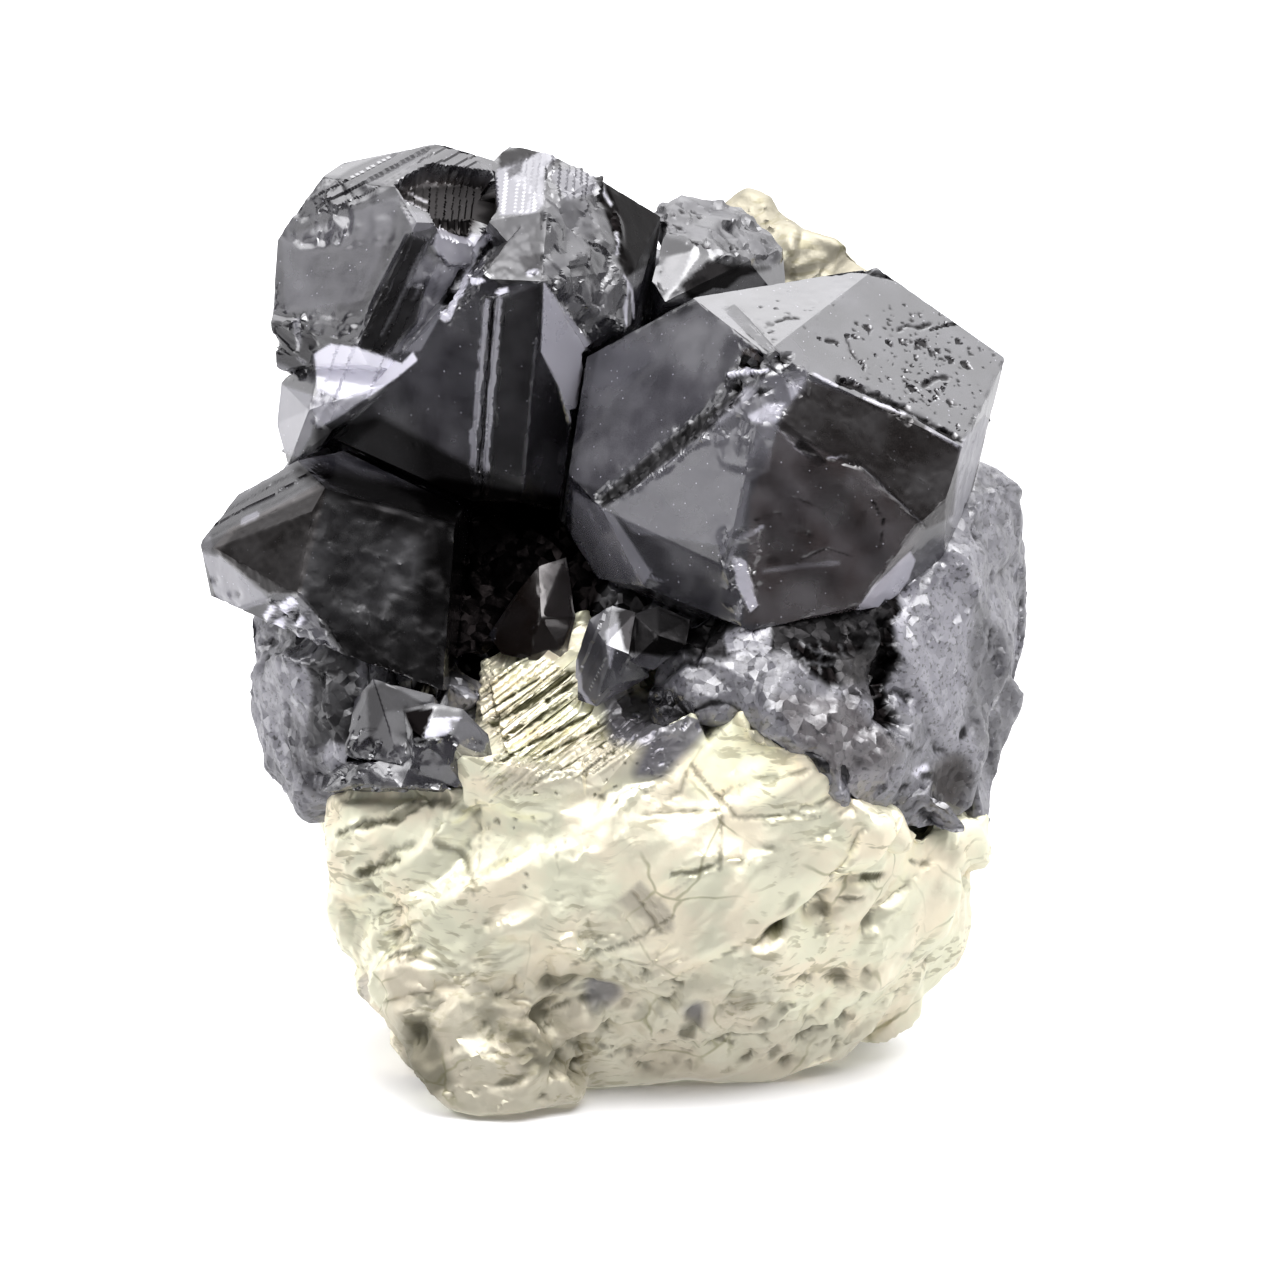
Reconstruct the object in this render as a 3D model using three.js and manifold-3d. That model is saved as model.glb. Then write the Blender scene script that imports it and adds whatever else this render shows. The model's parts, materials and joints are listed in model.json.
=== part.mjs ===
// Sphalerite and pyrite specimen, about 41 mm tall. Millimetres, +Z up in the exported group.
// Corners are given as they are seen from the specimen's best side: [right, up, toward the viewer],
// with the middle of the specimen at zero. The exported group turns that to +Z up, standing on its cut.
import * as THREE from 'three';
import { ConvexGeometry } from 'three/addons/geometries/ConvexGeometry.js';
import { mergeVertices } from 'three/addons/utils/BufferGeometryUtils.js';
import Module from 'manifold-3d';

const wasm = await Module();
wasm.setup();

// Driving dimensions
const eyeDistance = 330; // where the corners were sighted from
const lookDown = 12; // degrees that the sight line falls
const baseHeight = -19.0; // height of the cut under the specimen's middle, in the sighted frame
const gap = 0.3; // clearance where a crystal is seated in the minerals around it
const seamRoom = 0.42; // clearance between the two rough minerals
const weld = 1e-4; // points closer than this are one point
const flatness = 1e-5; // three planes closer than this to one line make no corner
const sameFace = 0.99995; // cosine above which two planes count as one face
const latticeStep = 1.7; // size of a broken surface's facets
const extent = { low: [-21.1, -24.1, -18.1], high: [20, 23, 15] }; // box that holds the broken masses
const slopeStep = 0.02; // how far apart the slope of a broken mass is measured
const justInside = 0.05; // how deep a filled lattice corner lies
const cornerCalm = 0.08; // keeps the corners of nearly flat cells in their cells
const cornerReach = 0.6; // how far a corner may leave the middle of its cell, in lattice steps
const roughness = { reach: 0.75, pitch: 5.2 }; // how far a broken surface wanders, and over what length
const fineRoughness = { reach: 0.3, pitch: 2.3 };
const chipDepth = 0.13; // how deep a fracture step is, as a share of its length
const chipWidth = 0.55;
const chipTop = 0.72; // size of a step's top against its foot
const topOfSteps = 15; // no fracture steps past these, where the masses end in narrow tips
const rightOfSteps = 14;

// Seeded random numbers, the same on every run
function seeded(seed) {
  let state = seed >>> 0;
  return () => {
    state = (state + 0x6d2b79f5) >>> 0;
    let t = Math.imul(state ^ (state >>> 15), 1 | state);
    t = (t + Math.imul(t ^ (t >>> 7), 61 | t)) ^ t;
    return ((t ^ (t >>> 14)) >>> 0) / 4294967296;
  };
}

// A corner as sighted, brought to its true place: near things look larger
function corner([right, up, toward]) {
  const shrink = (eyeDistance - toward) / eyeDistance;
  return new THREE.Vector3(right * shrink, up * shrink, toward);
}

const corners = (list) => list.map(corner);

function stripped(geometry) {
  geometry.deleteAttribute('normal');
  geometry.deleteAttribute('uv');
  return geometry;
}

const manifoldOf = (places, faces) => new wasm.Manifold(new wasm.Mesh({
  numProp: 3, vertProperties: new Float32Array(places), triVerts: new Uint32Array(faces),
}));

function solidOf(geometry) {
  const merged = mergeVertices(stripped(geometry), weld);
  return manifoldOf(merged.attributes.position.array, merged.index.array);
}

// A block with flat faces around its corners
const block = (points) => solidOf(new ConvexGeometry(points));

// Corners of the solid that lies behind all of these planes
function cornersBehind(planes) {
  const found = [];
  for (let i = 0; i < planes.length; i++)
    for (let j = i + 1; j < planes.length; j++)
      for (let k = j + 1; k < planes.length; k++) {
        const [p, q, r] = [planes[i], planes[j], planes[k]];
        const rows = [p, q, r].flatMap((plane) => plane.normal.toArray());
        const m = new THREE.Matrix3().set(...rows);
        if (Math.abs(m.determinant()) < flatness) continue;
        const at = new THREE.Vector3(-p.constant, -q.constant, -r.constant).applyMatrix3(m.invert());
        if (planes.every((plane) => plane.distanceToPoint(at) < weld)) found.push(at);
      }
  return found;
}

// Corners of the solid behind a set of faces, each face given by three of its corners
function behindFaces(centre, faces) {
  const middle = corner(centre);
  return cornersBehind(faces.map((three) => {
    const plane = new THREE.Plane().setFromCoplanarPoints(...corners(three));
    return plane.distanceToPoint(middle) > 0 ? plane.negate() : plane;
  }));
}

// The planes of a block's faces
function facePlanes(points) {
  const { position } = new ConvexGeometry(points).attributes;
  const at = (i) => new THREE.Vector3().fromBufferAttribute(position, i);
  const planes = [];
  for (let i = 0; i < position.count; i += 3) {
    const plane = new THREE.Plane().setFromCoplanarPoints(at(i), at(i + 1), at(i + 2));
    if (planes.every((other) => other.normal.dot(plane.normal) < sameFace)) planes.push(plane);
  }
  return planes;
}

// Room for a block: the same faces, each moved outwards by the gap
function seat(points) {
  const planes = facePlanes(points);
  for (const plane of planes) plane.constant -= gap;
  return block(cornersBehind(planes));
}

const union = (solids) => solids.reduce((whole, s) => whole.add(s));
const without = (solid, others) => others.reduce((left, s) => left.subtract(s), solid);
const largest = (solid) => solid.decompose().sort((a, b) => b.volume() - a.volume())[0];

// Large sphalerite crystal, upper right
const apex = [7.3, 11.4, 12.1];
const ledgeEnd = [5.5, 12.5, 12.6];
const topLeft = [2.4, 14.9, 8.85];
const topBack = [10.3, 16.2, 5.2];
const rightTip = [15.9, 12.3, 4.9];
const rightLow = [14.0, 8.4, 10.0];
const frontLeft = [6.2, 9.0, 12.45];
const frontRight = [12.2, 5.1, 10.8];
const lowPoint = [4.5, 0.3, 10.4];
const lowRight = [9.5, 1.5, 10.2];
const leftLow = [-1.6, 5.6, 8.6];
const leftTip = [-3.1, 7.3, 6.7];
const leftTop = [-2.3, 12.3, 5.5];
const largeCrystal = behindFaces([6, 7, 4], [
  [topLeft, ledgeEnd, topBack], // bright top
  [ledgeEnd, topBack, rightLow], // pitted upper right
  [apex, rightLow, frontRight], // brown front
  [frontLeft, frontRight, lowPoint], // dark front
  [[4.65, 7.0, 12.17], [4.1, 4.3, 11.59], leftLow], // grey front left
  [leftLow, [2.9, 9.35, 11.45], leftTop], // dark left
  [leftLow, leftTip, [-0.3, 2.4, 6.9]], // lower left
  [leftLow, [2.9, 3.4, 10.8], lowPoint], // under the left
  [[-0.3, 2.4, 6.9], lowPoint, [1.6, 0.6, 2]],
  [[-3.0, 3.5, 5.6], [-0.3, 2.4, 6.9], [-2, 2.6, 0]],
  [leftTip, leftTop, [-2.6, 9, 0]],
  [lowRight, lowPoint, [7.0, -0.2, 4]], // underside
  [frontRight, lowRight, [12.0, 1.8, 6.0]], // pale lower right
  [rightLow, [14.3, 6.0, 4.0], rightTip], // right side
  [topLeft, leftTop, [0.8, 13.2, 0.5]],
  [topBack, rightTip, [11.6, 13.4, -1.0]], // rear top right
  [topBack, topLeft, [5.0, 14.4, -1.0]], // rear top
  [rightTip, [14.9, 7.4, 4.6], [13.2, 10.6, -1.0]], // rear right
  [[12, 1.8, 6], [14.3, 6.0, 4.6], [12, 3, -1]],
  [[0, 0, -1.5], [1, 0, -1.5], [0, 1, -1.5]],
]);

// Growth step along the large crystal's upper ridge, and the pit beside it
const growthStep = corners([[3.2, 14.2, 9.6], [4.1, 14.6, 9.6], [5.9, 12.6, 12.7], [5.3, 12.1, 12.75],
  [7.3, 11.5, 12.3], [6.4, 11.2, 12.4], [6.0, 11.6, 12.5], [3.3, 13.6, 9.9], [5.5, 11.6, 10.5],
  [6.8, 10.8, 10.5], [4, 13, 8]]);
const growthPit = corners([[4.4, 12.6, 12.2], [5.3, 12.0, 13.0], [5.0, 11.2, 13.2], [4.1, 11.9, 12.4],
  [4.7, 11.9, 10.6], [4.2, 12.3, 13.2]]);

// Twinned crystal, upper middle: a wedge with an upright front ridge, its broken right shoulder and a cap
const ridgeTop = [-6.8, 15.9, 8.7];
const ridgeFoot = [-7.2, 6.0, 5.0];
const wedgeLeft = [-13.8, 9.0, 2.0];
const wedgeRight = [-4.2, 15.6, 8.6];
const twinWedge = behindFaces([-6, 11, 0], [
  [ridgeTop, ridgeFoot, wedgeLeft], // dark lower left
  [[-5.9, 15.8, 8.8], wedgeRight, [-5.2, 6.2, 5.2]], // dark front
  [wedgeRight, [-5.2, 6.2, 5.2], [-3.0, 9.0, 4.0]], // dark right
  [ridgeTop, wedgeRight, [-5.3, 18.6, 6.7]], // frosted slope
  [wedgeLeft, ridgeTop, [-12.6, 11.2, -3]], // upper left
  [wedgeLeft, ridgeFoot, [-8, 4.6, -3]], // underside
  [ridgeFoot, [-5.2, 6.0, 5.2], [-5, 4.6, -3]],
  [[-3.0, 5.4, 3.6], [-2.3, 12.6, 5.0], [-1.8, 10, -2]], // pale right sliver
  [wedgeRight, [-2.3, 12.6, 5.2], [-3.0, 19.4, 4.4]],
  [[-3.0, 5.6, 3.6], [-5.2, 5.8, 5.0], [-4, 4.6, -3]],
  [[-15, 8, -6], [0, 8, -6], [-7, 15, -6]],
  [[-6.5, 18.4, 6.5], [-4.1, 18.7, 6.8], [-6, 16.0, -5]],
]);
const twinShoulder = corners([wedgeRight, [-4.1, 18.7, 6.9], [-4.1, 21.2, 3.8], [-1.9, 20.1, 3.6],
  [0.9, 18.4, 0.8], [-0.2, 16.2, 3.9], [-0.4, 13.7, 4.0], [-2.4, 12.7, 5.2], [-5.7, 21.5, 3.4],
  [-6.65, 18.3, 6.6], [-6.4, 20.8, 4.2], [-4.6, 19.8, -1.6], [-5.6, 18.0, -4], [-2.4, 17.6, -4.8],
  [0.6, 17.0, -3], [0.4, 13.6, -2], [-3, 11.5, 0], [-7, 15, -3]]);

// Raised twin lamellae, as thin plates down the front of the wedge
const lamella = ([topRight, topUp], [footRight, footUp], width) => {
  const rise = 0.22;
  const sunk = 1.5;
  const top = 8.35;
  const foot = 5.15;
  const [w1, w2] = [top, foot].map((toward) => toward + rise);
  return corners([[topRight, topUp, w1], [topRight + width, topUp, w1], [footRight, footUp, w2],
    [footRight + width, footUp, w2], [topRight, topUp, top - sunk], [topRight + width, topUp, top - sunk],
    [footRight, footUp, foot - sunk], [footRight + width, footUp, foot - sunk]]);
};
const lamellae = [
  lamella([-6.75, 14.9], [-7.3, 6.2], 0.34),
  lamella([-6.15, 14.9], [-6.85, 6.2], 0.3),
];

// Pale facet under the block and the blunt lump behind it
const underBlock = corners([[-14.4, 10.0, 3.0], [-13.8, 12.7, 2.0], [-12.2, 13.0, 2.4], [-9.6, 12.7, 4.4],
  [-10.2, 11.4, 4.8], [-13.4, 9.1, 3.2], [-15.6, 11.2, 0.2], [-15.8, 9.4, -0.4], [-15.3, 7.6, 0.2],
  [-14.0, 8.2, 1.6], [-14, 8, -4], [-9, 12, -4], [-14.6, 11.6, -3]]);

// Block-shaped crystal at the upper left, grown through the twin
const leftBlock = behindFaces([-12, 16, 0], [
  [[-16.0, 13.9, 3.4], [-10.7, 19.6, 5.6], [-12.3, 12.8, 5.9]], // grey front
  [[-10.0, 17.5, 6.4], [-12.3, 12.8, 5.9], [-8.0, 16.0, 4.6]], // stepped right
  [[-15.9, 17.5, 3.6], [-16.0, 13.9, 3.4], [-14.4, 15, -4]],
  [[-15.9, 17.6, 3.6], [-13.5, 20.3, 3.2], [-13.8, 16.6, -3]],
  [[-13.5, 20.3, 3.4], [-10.7, 19.8, 5.4], [-9.2, 21.5, 2.6]],
  [[-9.2, 21.5, 2.6], [-13.5, 20.5, 2.4], [-11, 18.4, -4]],
  [[-10.7, 19.8, 5.5], [-9.0, 21.4, 2.8], [-7.0, 20.3, 2.6]],
  [[-9.1, 21.6, 2.4], [-6.9, 21.0, 1.8], [-8, 19.0, -4]],
  [[-16.0, 13.8, 3.4], [-12.3, 12.7, 5.7], [-14.5, 11.4, 2.0]], // under the front
  [[-15.9, 12.0, 2.2], [-12, 11.6, 2.4], [-14, 11, -4]],
  [[-5.5, 13, 3], [-5.5, 20, 3], [-5.5, 15, -3]],
  [[-10.5, 20.0, -0.5], [-14.5, 17.0, -1.0], [-11.5, 15.5, -5.5]], // rear slopes
  [[-7.0, 20.6, 0.0], [-9.5, 19.6, -1.0], [-7.5, 15.0, -6.0]],
  [[-15.6, 14.5, 0.5], [-14.6, 17.0, -0.5], [-12.0, 13.5, -6.0]],
  [[-16, 15, -6], [-8, 15, -6], [-12, 20, -6]],
]);

// Left crystal, with its pale top band
const leftTopBand = [-13.7, 6.6, 8.4];
const leftNose = [-18.5, 4.0, 5.2];
const leftFoot = [-14.9, 2.1, 9.0];
const leftCrystal = behindFaces([-13, 3, 2], [
  [leftNose, [-16.2, 5.8, 6.8], leftFoot], // brown front
  [leftTopBand, leftNose, [-14.7, 7.9, 6.2]], // pale top band
  [leftNose, [-16.0, 2.0, 7.6], [-18.6, 1.9, 4.0]], // pale lower facet
  [leftTopBand, leftFoot, [-8.4, 2.0, 7.2]], // rough right front
  [leftTopBand, [-9.5, 5.5, 7.0], [-11.5, 7.2, 4.0]],
  [[-8.0, 3.9, 6.0], [-8.4, -1.5, 6.4], [-7.4, 2, 0]],
  [[-14.7, 7.9, 6.2], [-17.4, 6.3, 4.0], [-15.2, 6.8, 0]],
  [[-19.1, 4.2, 4.4], [-18.7, 2.0, 4.0], [-15.6, 3, -1]],
  [[-17.4, 6.3, 4.0], [-19.1, 4.3, 4.4], [-17.4, 5.0, -1]],
  [[-18.6, 1.9, 4.0], [-17.0, 1.2, 5.2], [-16.6, 1.4, 0]],
  [leftFoot, [-12.0, -1.8, 8.2], [-17.0, 1.0, 5.4]],
  [[-12.6, -2.2, 8.2], [-8.0, -2.2, 6.6], [-10, -2.6, 0]],
  [[-16, 3, -3], [-8, 3, -3], [-12, 6, -3]],
]);

// Crystal at the back of the top, between the twin and the large one
const upperCrystal = corners([[0.0, 16.4, 1.6], [1.0, 18.0, 0.2], [2.8, 17.1, 1.0], [1.1, 14.7, 2.6],
  [4.7, 16.5, 0.4], [6.2, 17.0, -3.0], [4.4, 18.8, -4.0], [1.8, 19.4, -3.2], [0.6, 18.6, -2.0],
  [6.4, 14.4, -3.0], [0.2, 13.2, -1.0], [2.0, 17.0, -8.0], [6.0, 15.0, -8.0]]);

// Small crystals at the lower left
const lowerLeftCrystals = [
  corners([[-12.4, -2.6, 7.2], [-11.6, -1.7, 8.0], [-9.0, -2.4, 8.6], [-8.4, -4.2, 8.8], [-10.4, -5.4, 9.0],
    [-12.8, -5.0, 7.6], [-9.6, -6.0, 6.0], [-12.4, -4.6, 3.0], [-8.6, -2.8, 3.0]]),
  corners([[-10.3, -3.0, 9.3], [-9.0, -2.7, 9.4], [-7.7, -3.0, 9.0], [-8.2, -4.3, 9.6], [-9.2, -4.4, 9.9],
    [-9.9, -3.9, 9.6], [-6.6, -4.1, 8.6], [-6.3, -5.4, 8.4], [-7.6, -6.4, 8.8], [-9.8, -6.3, 8.8],
    [-8.0, -3.2, 4.0], [-7.0, -5.4, 4.0], [-10.0, -5.6, 4.0]]),
  corners([[-13.9, -6.6, 5.8], [-12.3, -5.4, 8.0], [-9.8, -5.0, 9.0], [-8.2, -6.5, 8.9], [-10.4, -6.4, 9.2],
    [-12.6, -6.2, 7.8], [-11, -5, 3], [-9, -6, 3], [-13.6, -5.2, 3.0]]),
];

// Small crystals in the middle, at the mouth of the cleft
const centreCrystals = [
  corners([[-2.8, -0.9, 7.6], [-2.2, 0.9, 8.4], [-1.2, 1.5, 8.8], [-0.2, 1.2, 9.2], [-0.5, -0.6, 10.0],
    [-1.0, -1.9, 9.8], [-1.9, -2.9, 9.0], [-2.7, -2.6, 8.0], [-1.5, -0.2, 9.8], [0.4, -1.6, 9.2],
    [0.2, 0.4, 8.8], [-1.5, -1.0, 4.0], [-2.2, 0.6, 4.4], [0.4, 1.0, 4.4]]),
  corners([[-0.3, 1.1, 9.2], [0.8, 1.5, 9.0], [2.2, 0.9, 9.4], [2.0, -0.2, 10.2], [0.6, -1.3, 10.2],
    [-0.4, -1.0, 9.9], [0.8, 0.2, 10.4], [0.4, 1.2, 4.5], [2.2, 0.2, 4.5], [0.0, -1.6, 4.5]]),
];

// Small dark crystals deep in the cleft
const cleftCrystals = [
  corners([[-6.6, 0.2, 2.8], [-5.4, 2.0, 3.4], [-4.4, 3.2, 3.4], [-3.2, 3.6, 3.0], [-2.8, 1.0, 4.0],
    [-3.2, -0.8, 4.2], [-4.8, -0.9, 4.2], [-6.0, -0.6, 3.6], [-6.0, 1.0, -2], [-3.0, 2.6, -2],
    [-3.4, -0.6, -2], [-4.3, 1.0, 4.6]]),
];

const crystals = {
  large_crystal: [largeCrystal, growthStep],
  twinned_crystals: [twinWedge, twinShoulder, leftBlock, underBlock, ...lamellae],
  left_crystal: [leftCrystal],
  upper_crystal: [upperCrystal],
  lower_left_crystals: lowerLeftCrystals,
  centre_crystals: centreCrystals,
  cleft_crystals: cleftCrystals,
};

// Pyrite: the foot of the specimen, the striated step in the cleft, and the slab behind
const pyriteBlocks = [
  // main body
  corners([[-14.1, -6.9, 4.5], [-13.4, -9.0, 5.2], [-13.2, -12.4, 3.2], [-11.0, -16.5, 3.0],
    [-9.7, -19.2, 2.0], [-8.0, -7.0, 8.2], [-8.6, -12.5, 8.0], [-2.0, -6.6, 10.6], [1.5, -7.5, 11.0],
    [7.5, -7.8, 9.8], [-3.0, -13.5, 9.6], [4.5, -14.0, 9.0], [9.5, -12.0, 7.6], [14.2, -8.6, 3.6],
    [14.1, -11.3, 2.6], [13.6, -13.3, 0.5], [10.4, -15.4, 3.6], [8.6, -17.8, 1.5], [5.7, -19.3, 0.5],
    [-0.9, -19.6, 2.5], [-13.5, -7.5, -8.0], [-11.0, -16.5, -9.0], [-6.0, -8.0, -14.5], [6.0, -8.0, -14.0],
    [13.0, -8.5, -7.0], [11.5, -14.0, -7.5], [-4.0, -17.0, -12.0], [5.0, -17.0, -11.5],
    [-8.0, -19.0, -7.0], [6.0, -19.0, -7.5]]),
  // foot lobe, lower left
  corners([[-9.9, -18.6, 4.0], [-10.6, -15.5, 4.6], [-8.8, -20.8, 7.0], [-5.0, -20.8, 7.2],
    [-3.0, -19.8, 6.5], [-5.0, -15.0, 8.2], [-9.5, -15.5, 6.8], [-7.0, -21.0, 1.0], [-2.0, -20.5, 2.0]]),
  // striated step in the cleft
  corners([[-7.3, -6.3, 8.8], [0.6, -4.8, 10.4], [-1.6, -6.8, 10.7], [-7.4, 0.0, 1.6], [-3.0, 0.0, 1.6],
    [2.4, -1.4, 3.0], [-7.4, -5.4, 6.0], [-7.0, -6.0, -4.0], [3.0, -6.0, -4.0], [3.0, -4.0, 9.6]]),
  // crest under the lower right crust
  corners([[0.0, -4.3, 10.6], [2.6, -3.4, 11.2], [5.4, -2.5, 11.4], [6.5, -3.9, 11.3], [8.4, -5.4, 10.4],
    [8.4, -7.8, 10.0], [1.5, -8.0, 11.2], [-1.0, -6.8, 10.8], [0.0, -5, 0], [6.0, -5, 0], [8.0, -8, 0]]),
  // ledge at the right
  corners([[12.0, -7.2, 4.6], [15.2, -7.3, 1.5], [15.3, -8.8, 1.4], [13.4, -9.2, 3.8], [12.5, -7.3, -5.0],
    [14.8, -7.6, -4.0], [14.6, -8.8, -4.0], [12, -9.4, -4]]),
  // behind the crystals, low
  corners([[-12, -9, -6], [13, -9, -6], [-9, -9, -13.5], [9.5, -9, -13.5], [-12.5, -1, -7],
    [13.5, -2, -6.5], [-8, 0, -14.6], [8, -1, -15.2], [-9.5, 5, -9], [10.5, 6, -8.5], [-4, 6, -13.8],
    [6, 6, -13.4]]),
  // behind, halfway up
  corners([[-8.5, 3, -8], [11.5, 3, -8], [-6, 4, -13.6], [8.5, 3, -14.3], [-5, 11, -9], [11.8, 9, -8],
    [-2, 10.5, -12.6], [8.4, 9.6, -12.2], [0, 14.6, -9], [9.8, 13.5, -8.4], [2.4, 14, -11.6]]),
  // peak behind
  corners([[-1.5, 12, -7.5], [11.4, 11, -7.5], [1.6, 17.8, -6.8], [4.2, 19.3, -8.0], [8.8, 17.4, -7.4],
    [10.4, 15.4, -7.4], [1, 12, -12.2], [9.2, 11.8, -11.8], [4.6, 17.8, -11.6], [8.0, 16.6, -11.2],
    [1.8, 17.0, -10.6]]),
];

// Striations across the step in the cleft, as long ridges that climb to the right
const stepFace = new THREE.Plane().setFromCoplanarPoints(
  ...corners([[-7.3, -6.3, 8.8], [0.6, -4.8, 10.4], [-7.4, 0.0, 1.6]]));
if (stepFace.normal.z < 0) stepFace.negate();
const climb = THREE.MathUtils.degToRad(38);
const sightReach = 50; // half the length of the lines that find the step's face
const ridges = { count: 9, first: [-5.2, -6.3], pitch: 0.62, longest: 7.5, shorter: 0.5, shift: 0.25 };
const ridgeSection = [[-0.5, -1.2], [0.5, -1.2], [-0.42, 0.1], [0.1, 0.62], [0.4, 0.1]];
const striation = (count) => {
  const { pitch } = ridges;
  const length = ridges.longest - Math.abs(count - (ridges.count - 1) / 2) * ridges.shorter;
  const start = new THREE.Vector2(
    ridges.first[0] - count * pitch * Math.sin(climb) + count * ridges.shift,
    ridges.first[1] + count * pitch * Math.cos(climb));
  const along = new THREE.Vector2(Math.cos(climb), Math.sin(climb));
  const across = new THREE.Vector2(-along.y, along.x);
  const points = [];
  for (const end of [0, length])
    for (const [side, rise] of ridgeSection) {
      const flat = start.clone().addScaledVector(along, end).addScaledVector(across, side * pitch);
      const line = new THREE.Line3(
        new THREE.Vector3(flat.x, flat.y, -sightReach), new THREE.Vector3(flat.x, flat.y, sightReach));
      points.push(stepFace.intersectLine(line, new THREE.Vector3()).addScaledVector(stepFace.normal, rise));
    }
  return points;
};
const striations = Array.from({ length: ridges.count }, (_, count) => striation(count));

// Massive sphalerite: the crust that the crystals grow from
const crustBlocks = [
  // core under the crystals
  corners([[-14.6, -6.6, 4.0], [-17.2, -0.2, 0.6], [-17.5, -2.6, 0.2], [-16.2, -4.4, 1.4],
    [-15.6, 6.0, 1.0], [-15.0, 10.0, -1.5], [9.5, 15.2, -3.0], [14.0, 12.0, -2.0], [15.4, 7.0, -3.5],
    [16.6, 3.6, -2.5], [16.2, -2.6, -1.0], [15.6, -7.0, 0.5], [-9.0, -6.5, 5.0], [9.0, -7.0, 6.0],
    [-15.0, -6.0, -7.0], [14.5, -6.0, -6.0], [-6.0, -6.0, 2.0], [4.0, -6.0, 4.0], [-12.0, -4.0, -11.5],
    [12.5, -3.0, -11.0]]),
  // core behind the crystals
  corners([[-15.0, 9.0, -2.0], [-13.6, 15.4, -4.5], [-9.0, 18.6, -5.0], [-2.0, 18.0, -5.5],
    [0.8, 17.2, -5.5], [9.5, 15.0, -4.0], [14.0, 11.5, -4.0], [15.6, 4.0, -5.0], [-15.6, 0.0, -5.0],
    [-12.0, 12.0, -9.5], [-6.0, 16.6, -9.5], [-1.0, 14.0, -11.0], [-11.0, 4.0, -12.0], [11.5, 10.0, -9.5],
    [13.0, 4.0, -10.5], [-5.0, 10.0, -12.6]]),
  // lower right front
  corners([[2.6, 0.6, 8.0], [3.9, -0.2, 10.6], [9.6, 0.0, 9.4], [10.9, 1.7, 8.6], [13.0, 4.6, 7.6],
    [14.4, 3.4, 6.4], [15.7, -2.2, 3.0], [15.3, -5.0, 2.6], [15.0, -7.3, 2.4], [12.0, -7.5, 5.6],
    [8.2, -7.6, 10.0], [8.4, -5.3, 10.6], [6.4, -3.6, 11.6], [5.4, -2.3, 11.7], [2.6, -3.2, 11.4],
    [0.2, -4.0, 10.8], [0.0, -2.0, 9.0], [11.4, -3.0, 8.8], [3, 0, 0], [14, 4, 0], [14, -6, 0],
    [4, -5, 0]]),
  // lower left side
  corners([[-17.2, 0.0, 1.0], [-17.5, -2.6, 0.5], [-16.2, -4.4, 1.6], [-14.2, -7.1, 4.0],
    [-13.9, -4.4, 6.0], [-14.6, -0.9, 6.0], [-12.7, -0.8, 7.0], [-12.6, -5.4, 7.2], [-9.0, -6.5, 7.0],
    [-8, -1, 5], [-8.0, -6.0, 0.0], [-13, 0, -2]]),
  // right side, up beside the large crystal
  corners([[12.6, 3.6, 7.0], [13.9, 5.4, 7.4], [14.7, 8.2, 5.6], [15.9, 11.6, 3.4], [15.2, 7.2, -2.0],
    [16.5, 3.6, -2.0], [14.4, 3.0, 6.2], [15.8, -1.0, 2.4], [12, 10, 0], [12, 0, 0]]),
];

// Smooth random push at a point, the same for every surface that passes there
function wander(point, { reach, pitch }) {
  const cell = point.clone().divideScalar(pitch).floor();
  const within = point.clone().divideScalar(pitch).sub(cell);
  const ease = (t) => t * t * (3 - 2 * t);
  const push = new THREE.Vector3();
  for (const dx of [0, 1])
    for (const dy of [0, 1])
      for (const dz of [0, 1]) {
        const random = seeded((cell.x + dx) * 7349 + (cell.y + dy) * 91283 + (cell.z + dz) * 613);
        const share = Math.abs(1 - dx - ease(within.x)) * Math.abs(1 - dy - ease(within.y))
          * Math.abs(1 - dz - ease(within.z));
        push.add(new THREE.Vector3(random() - 0.5, random() - 0.5, random() - 0.5).multiplyScalar(share));
      }
  return push.multiplyScalar(2 * reach);
}

// Distance to the faces of a broken mass at a point, negative inside: blocks joined, then notches cut
function massOf(blocks, notches) {
  const joined = blocks.map(facePlanes);
  const cut = notches.map(facePlanes);
  const inside = (planes, p) => Math.max(...planes.map((plane) => plane.distanceToPoint(p)));
  return (point) => {
    const p = point.clone().add(wander(point, roughness)).add(wander(point, fineRoughness));
    const whole = joined.reduce((least, planes) => Math.min(least, inside(planes, p)), Infinity);
    return cut.reduce((most, planes) => Math.max(most, -inside(planes, p)), whole);
  };
}

// The way out of a mass at a point
function wayOut(mass, at) {
  const slope = ['x', 'y', 'z'].map((axis) => {
    const ahead = at.clone();
    const behind = at.clone();
    ahead[axis] += slopeStep;
    behind[axis] -= slopeStep;
    return mass(ahead) - mass(behind);
  });
  return new THREE.Vector3().fromArray(slope).normalize();
}

// The point nearest to all the faces that pass through a cell, so that edges and corners stay sharp
function sharpest(faces) {
  const middle = faces.reduce((sum, { at }) => sum.add(at), new THREE.Vector3()).divideScalar(faces.length);
  const m = new Array(9).fill(0);
  const pull = new THREE.Vector3();
  for (const { at, out } of faces) {
    const n = out.toArray();
    for (let i = 0; i < 9; i++) m[i] += n[i % 3] * n[Math.floor(i / 3)];
    pull.addScaledVector(out, out.dot(at) - out.dot(middle));
  }
  for (const i of [0, 4, 8]) m[i] += cornerCalm;
  const move = pull.applyMatrix3(new THREE.Matrix3().fromArray(m).invert());
  return middle.add(move.clampLength(0, latticeStep * cornerReach));
}

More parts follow.
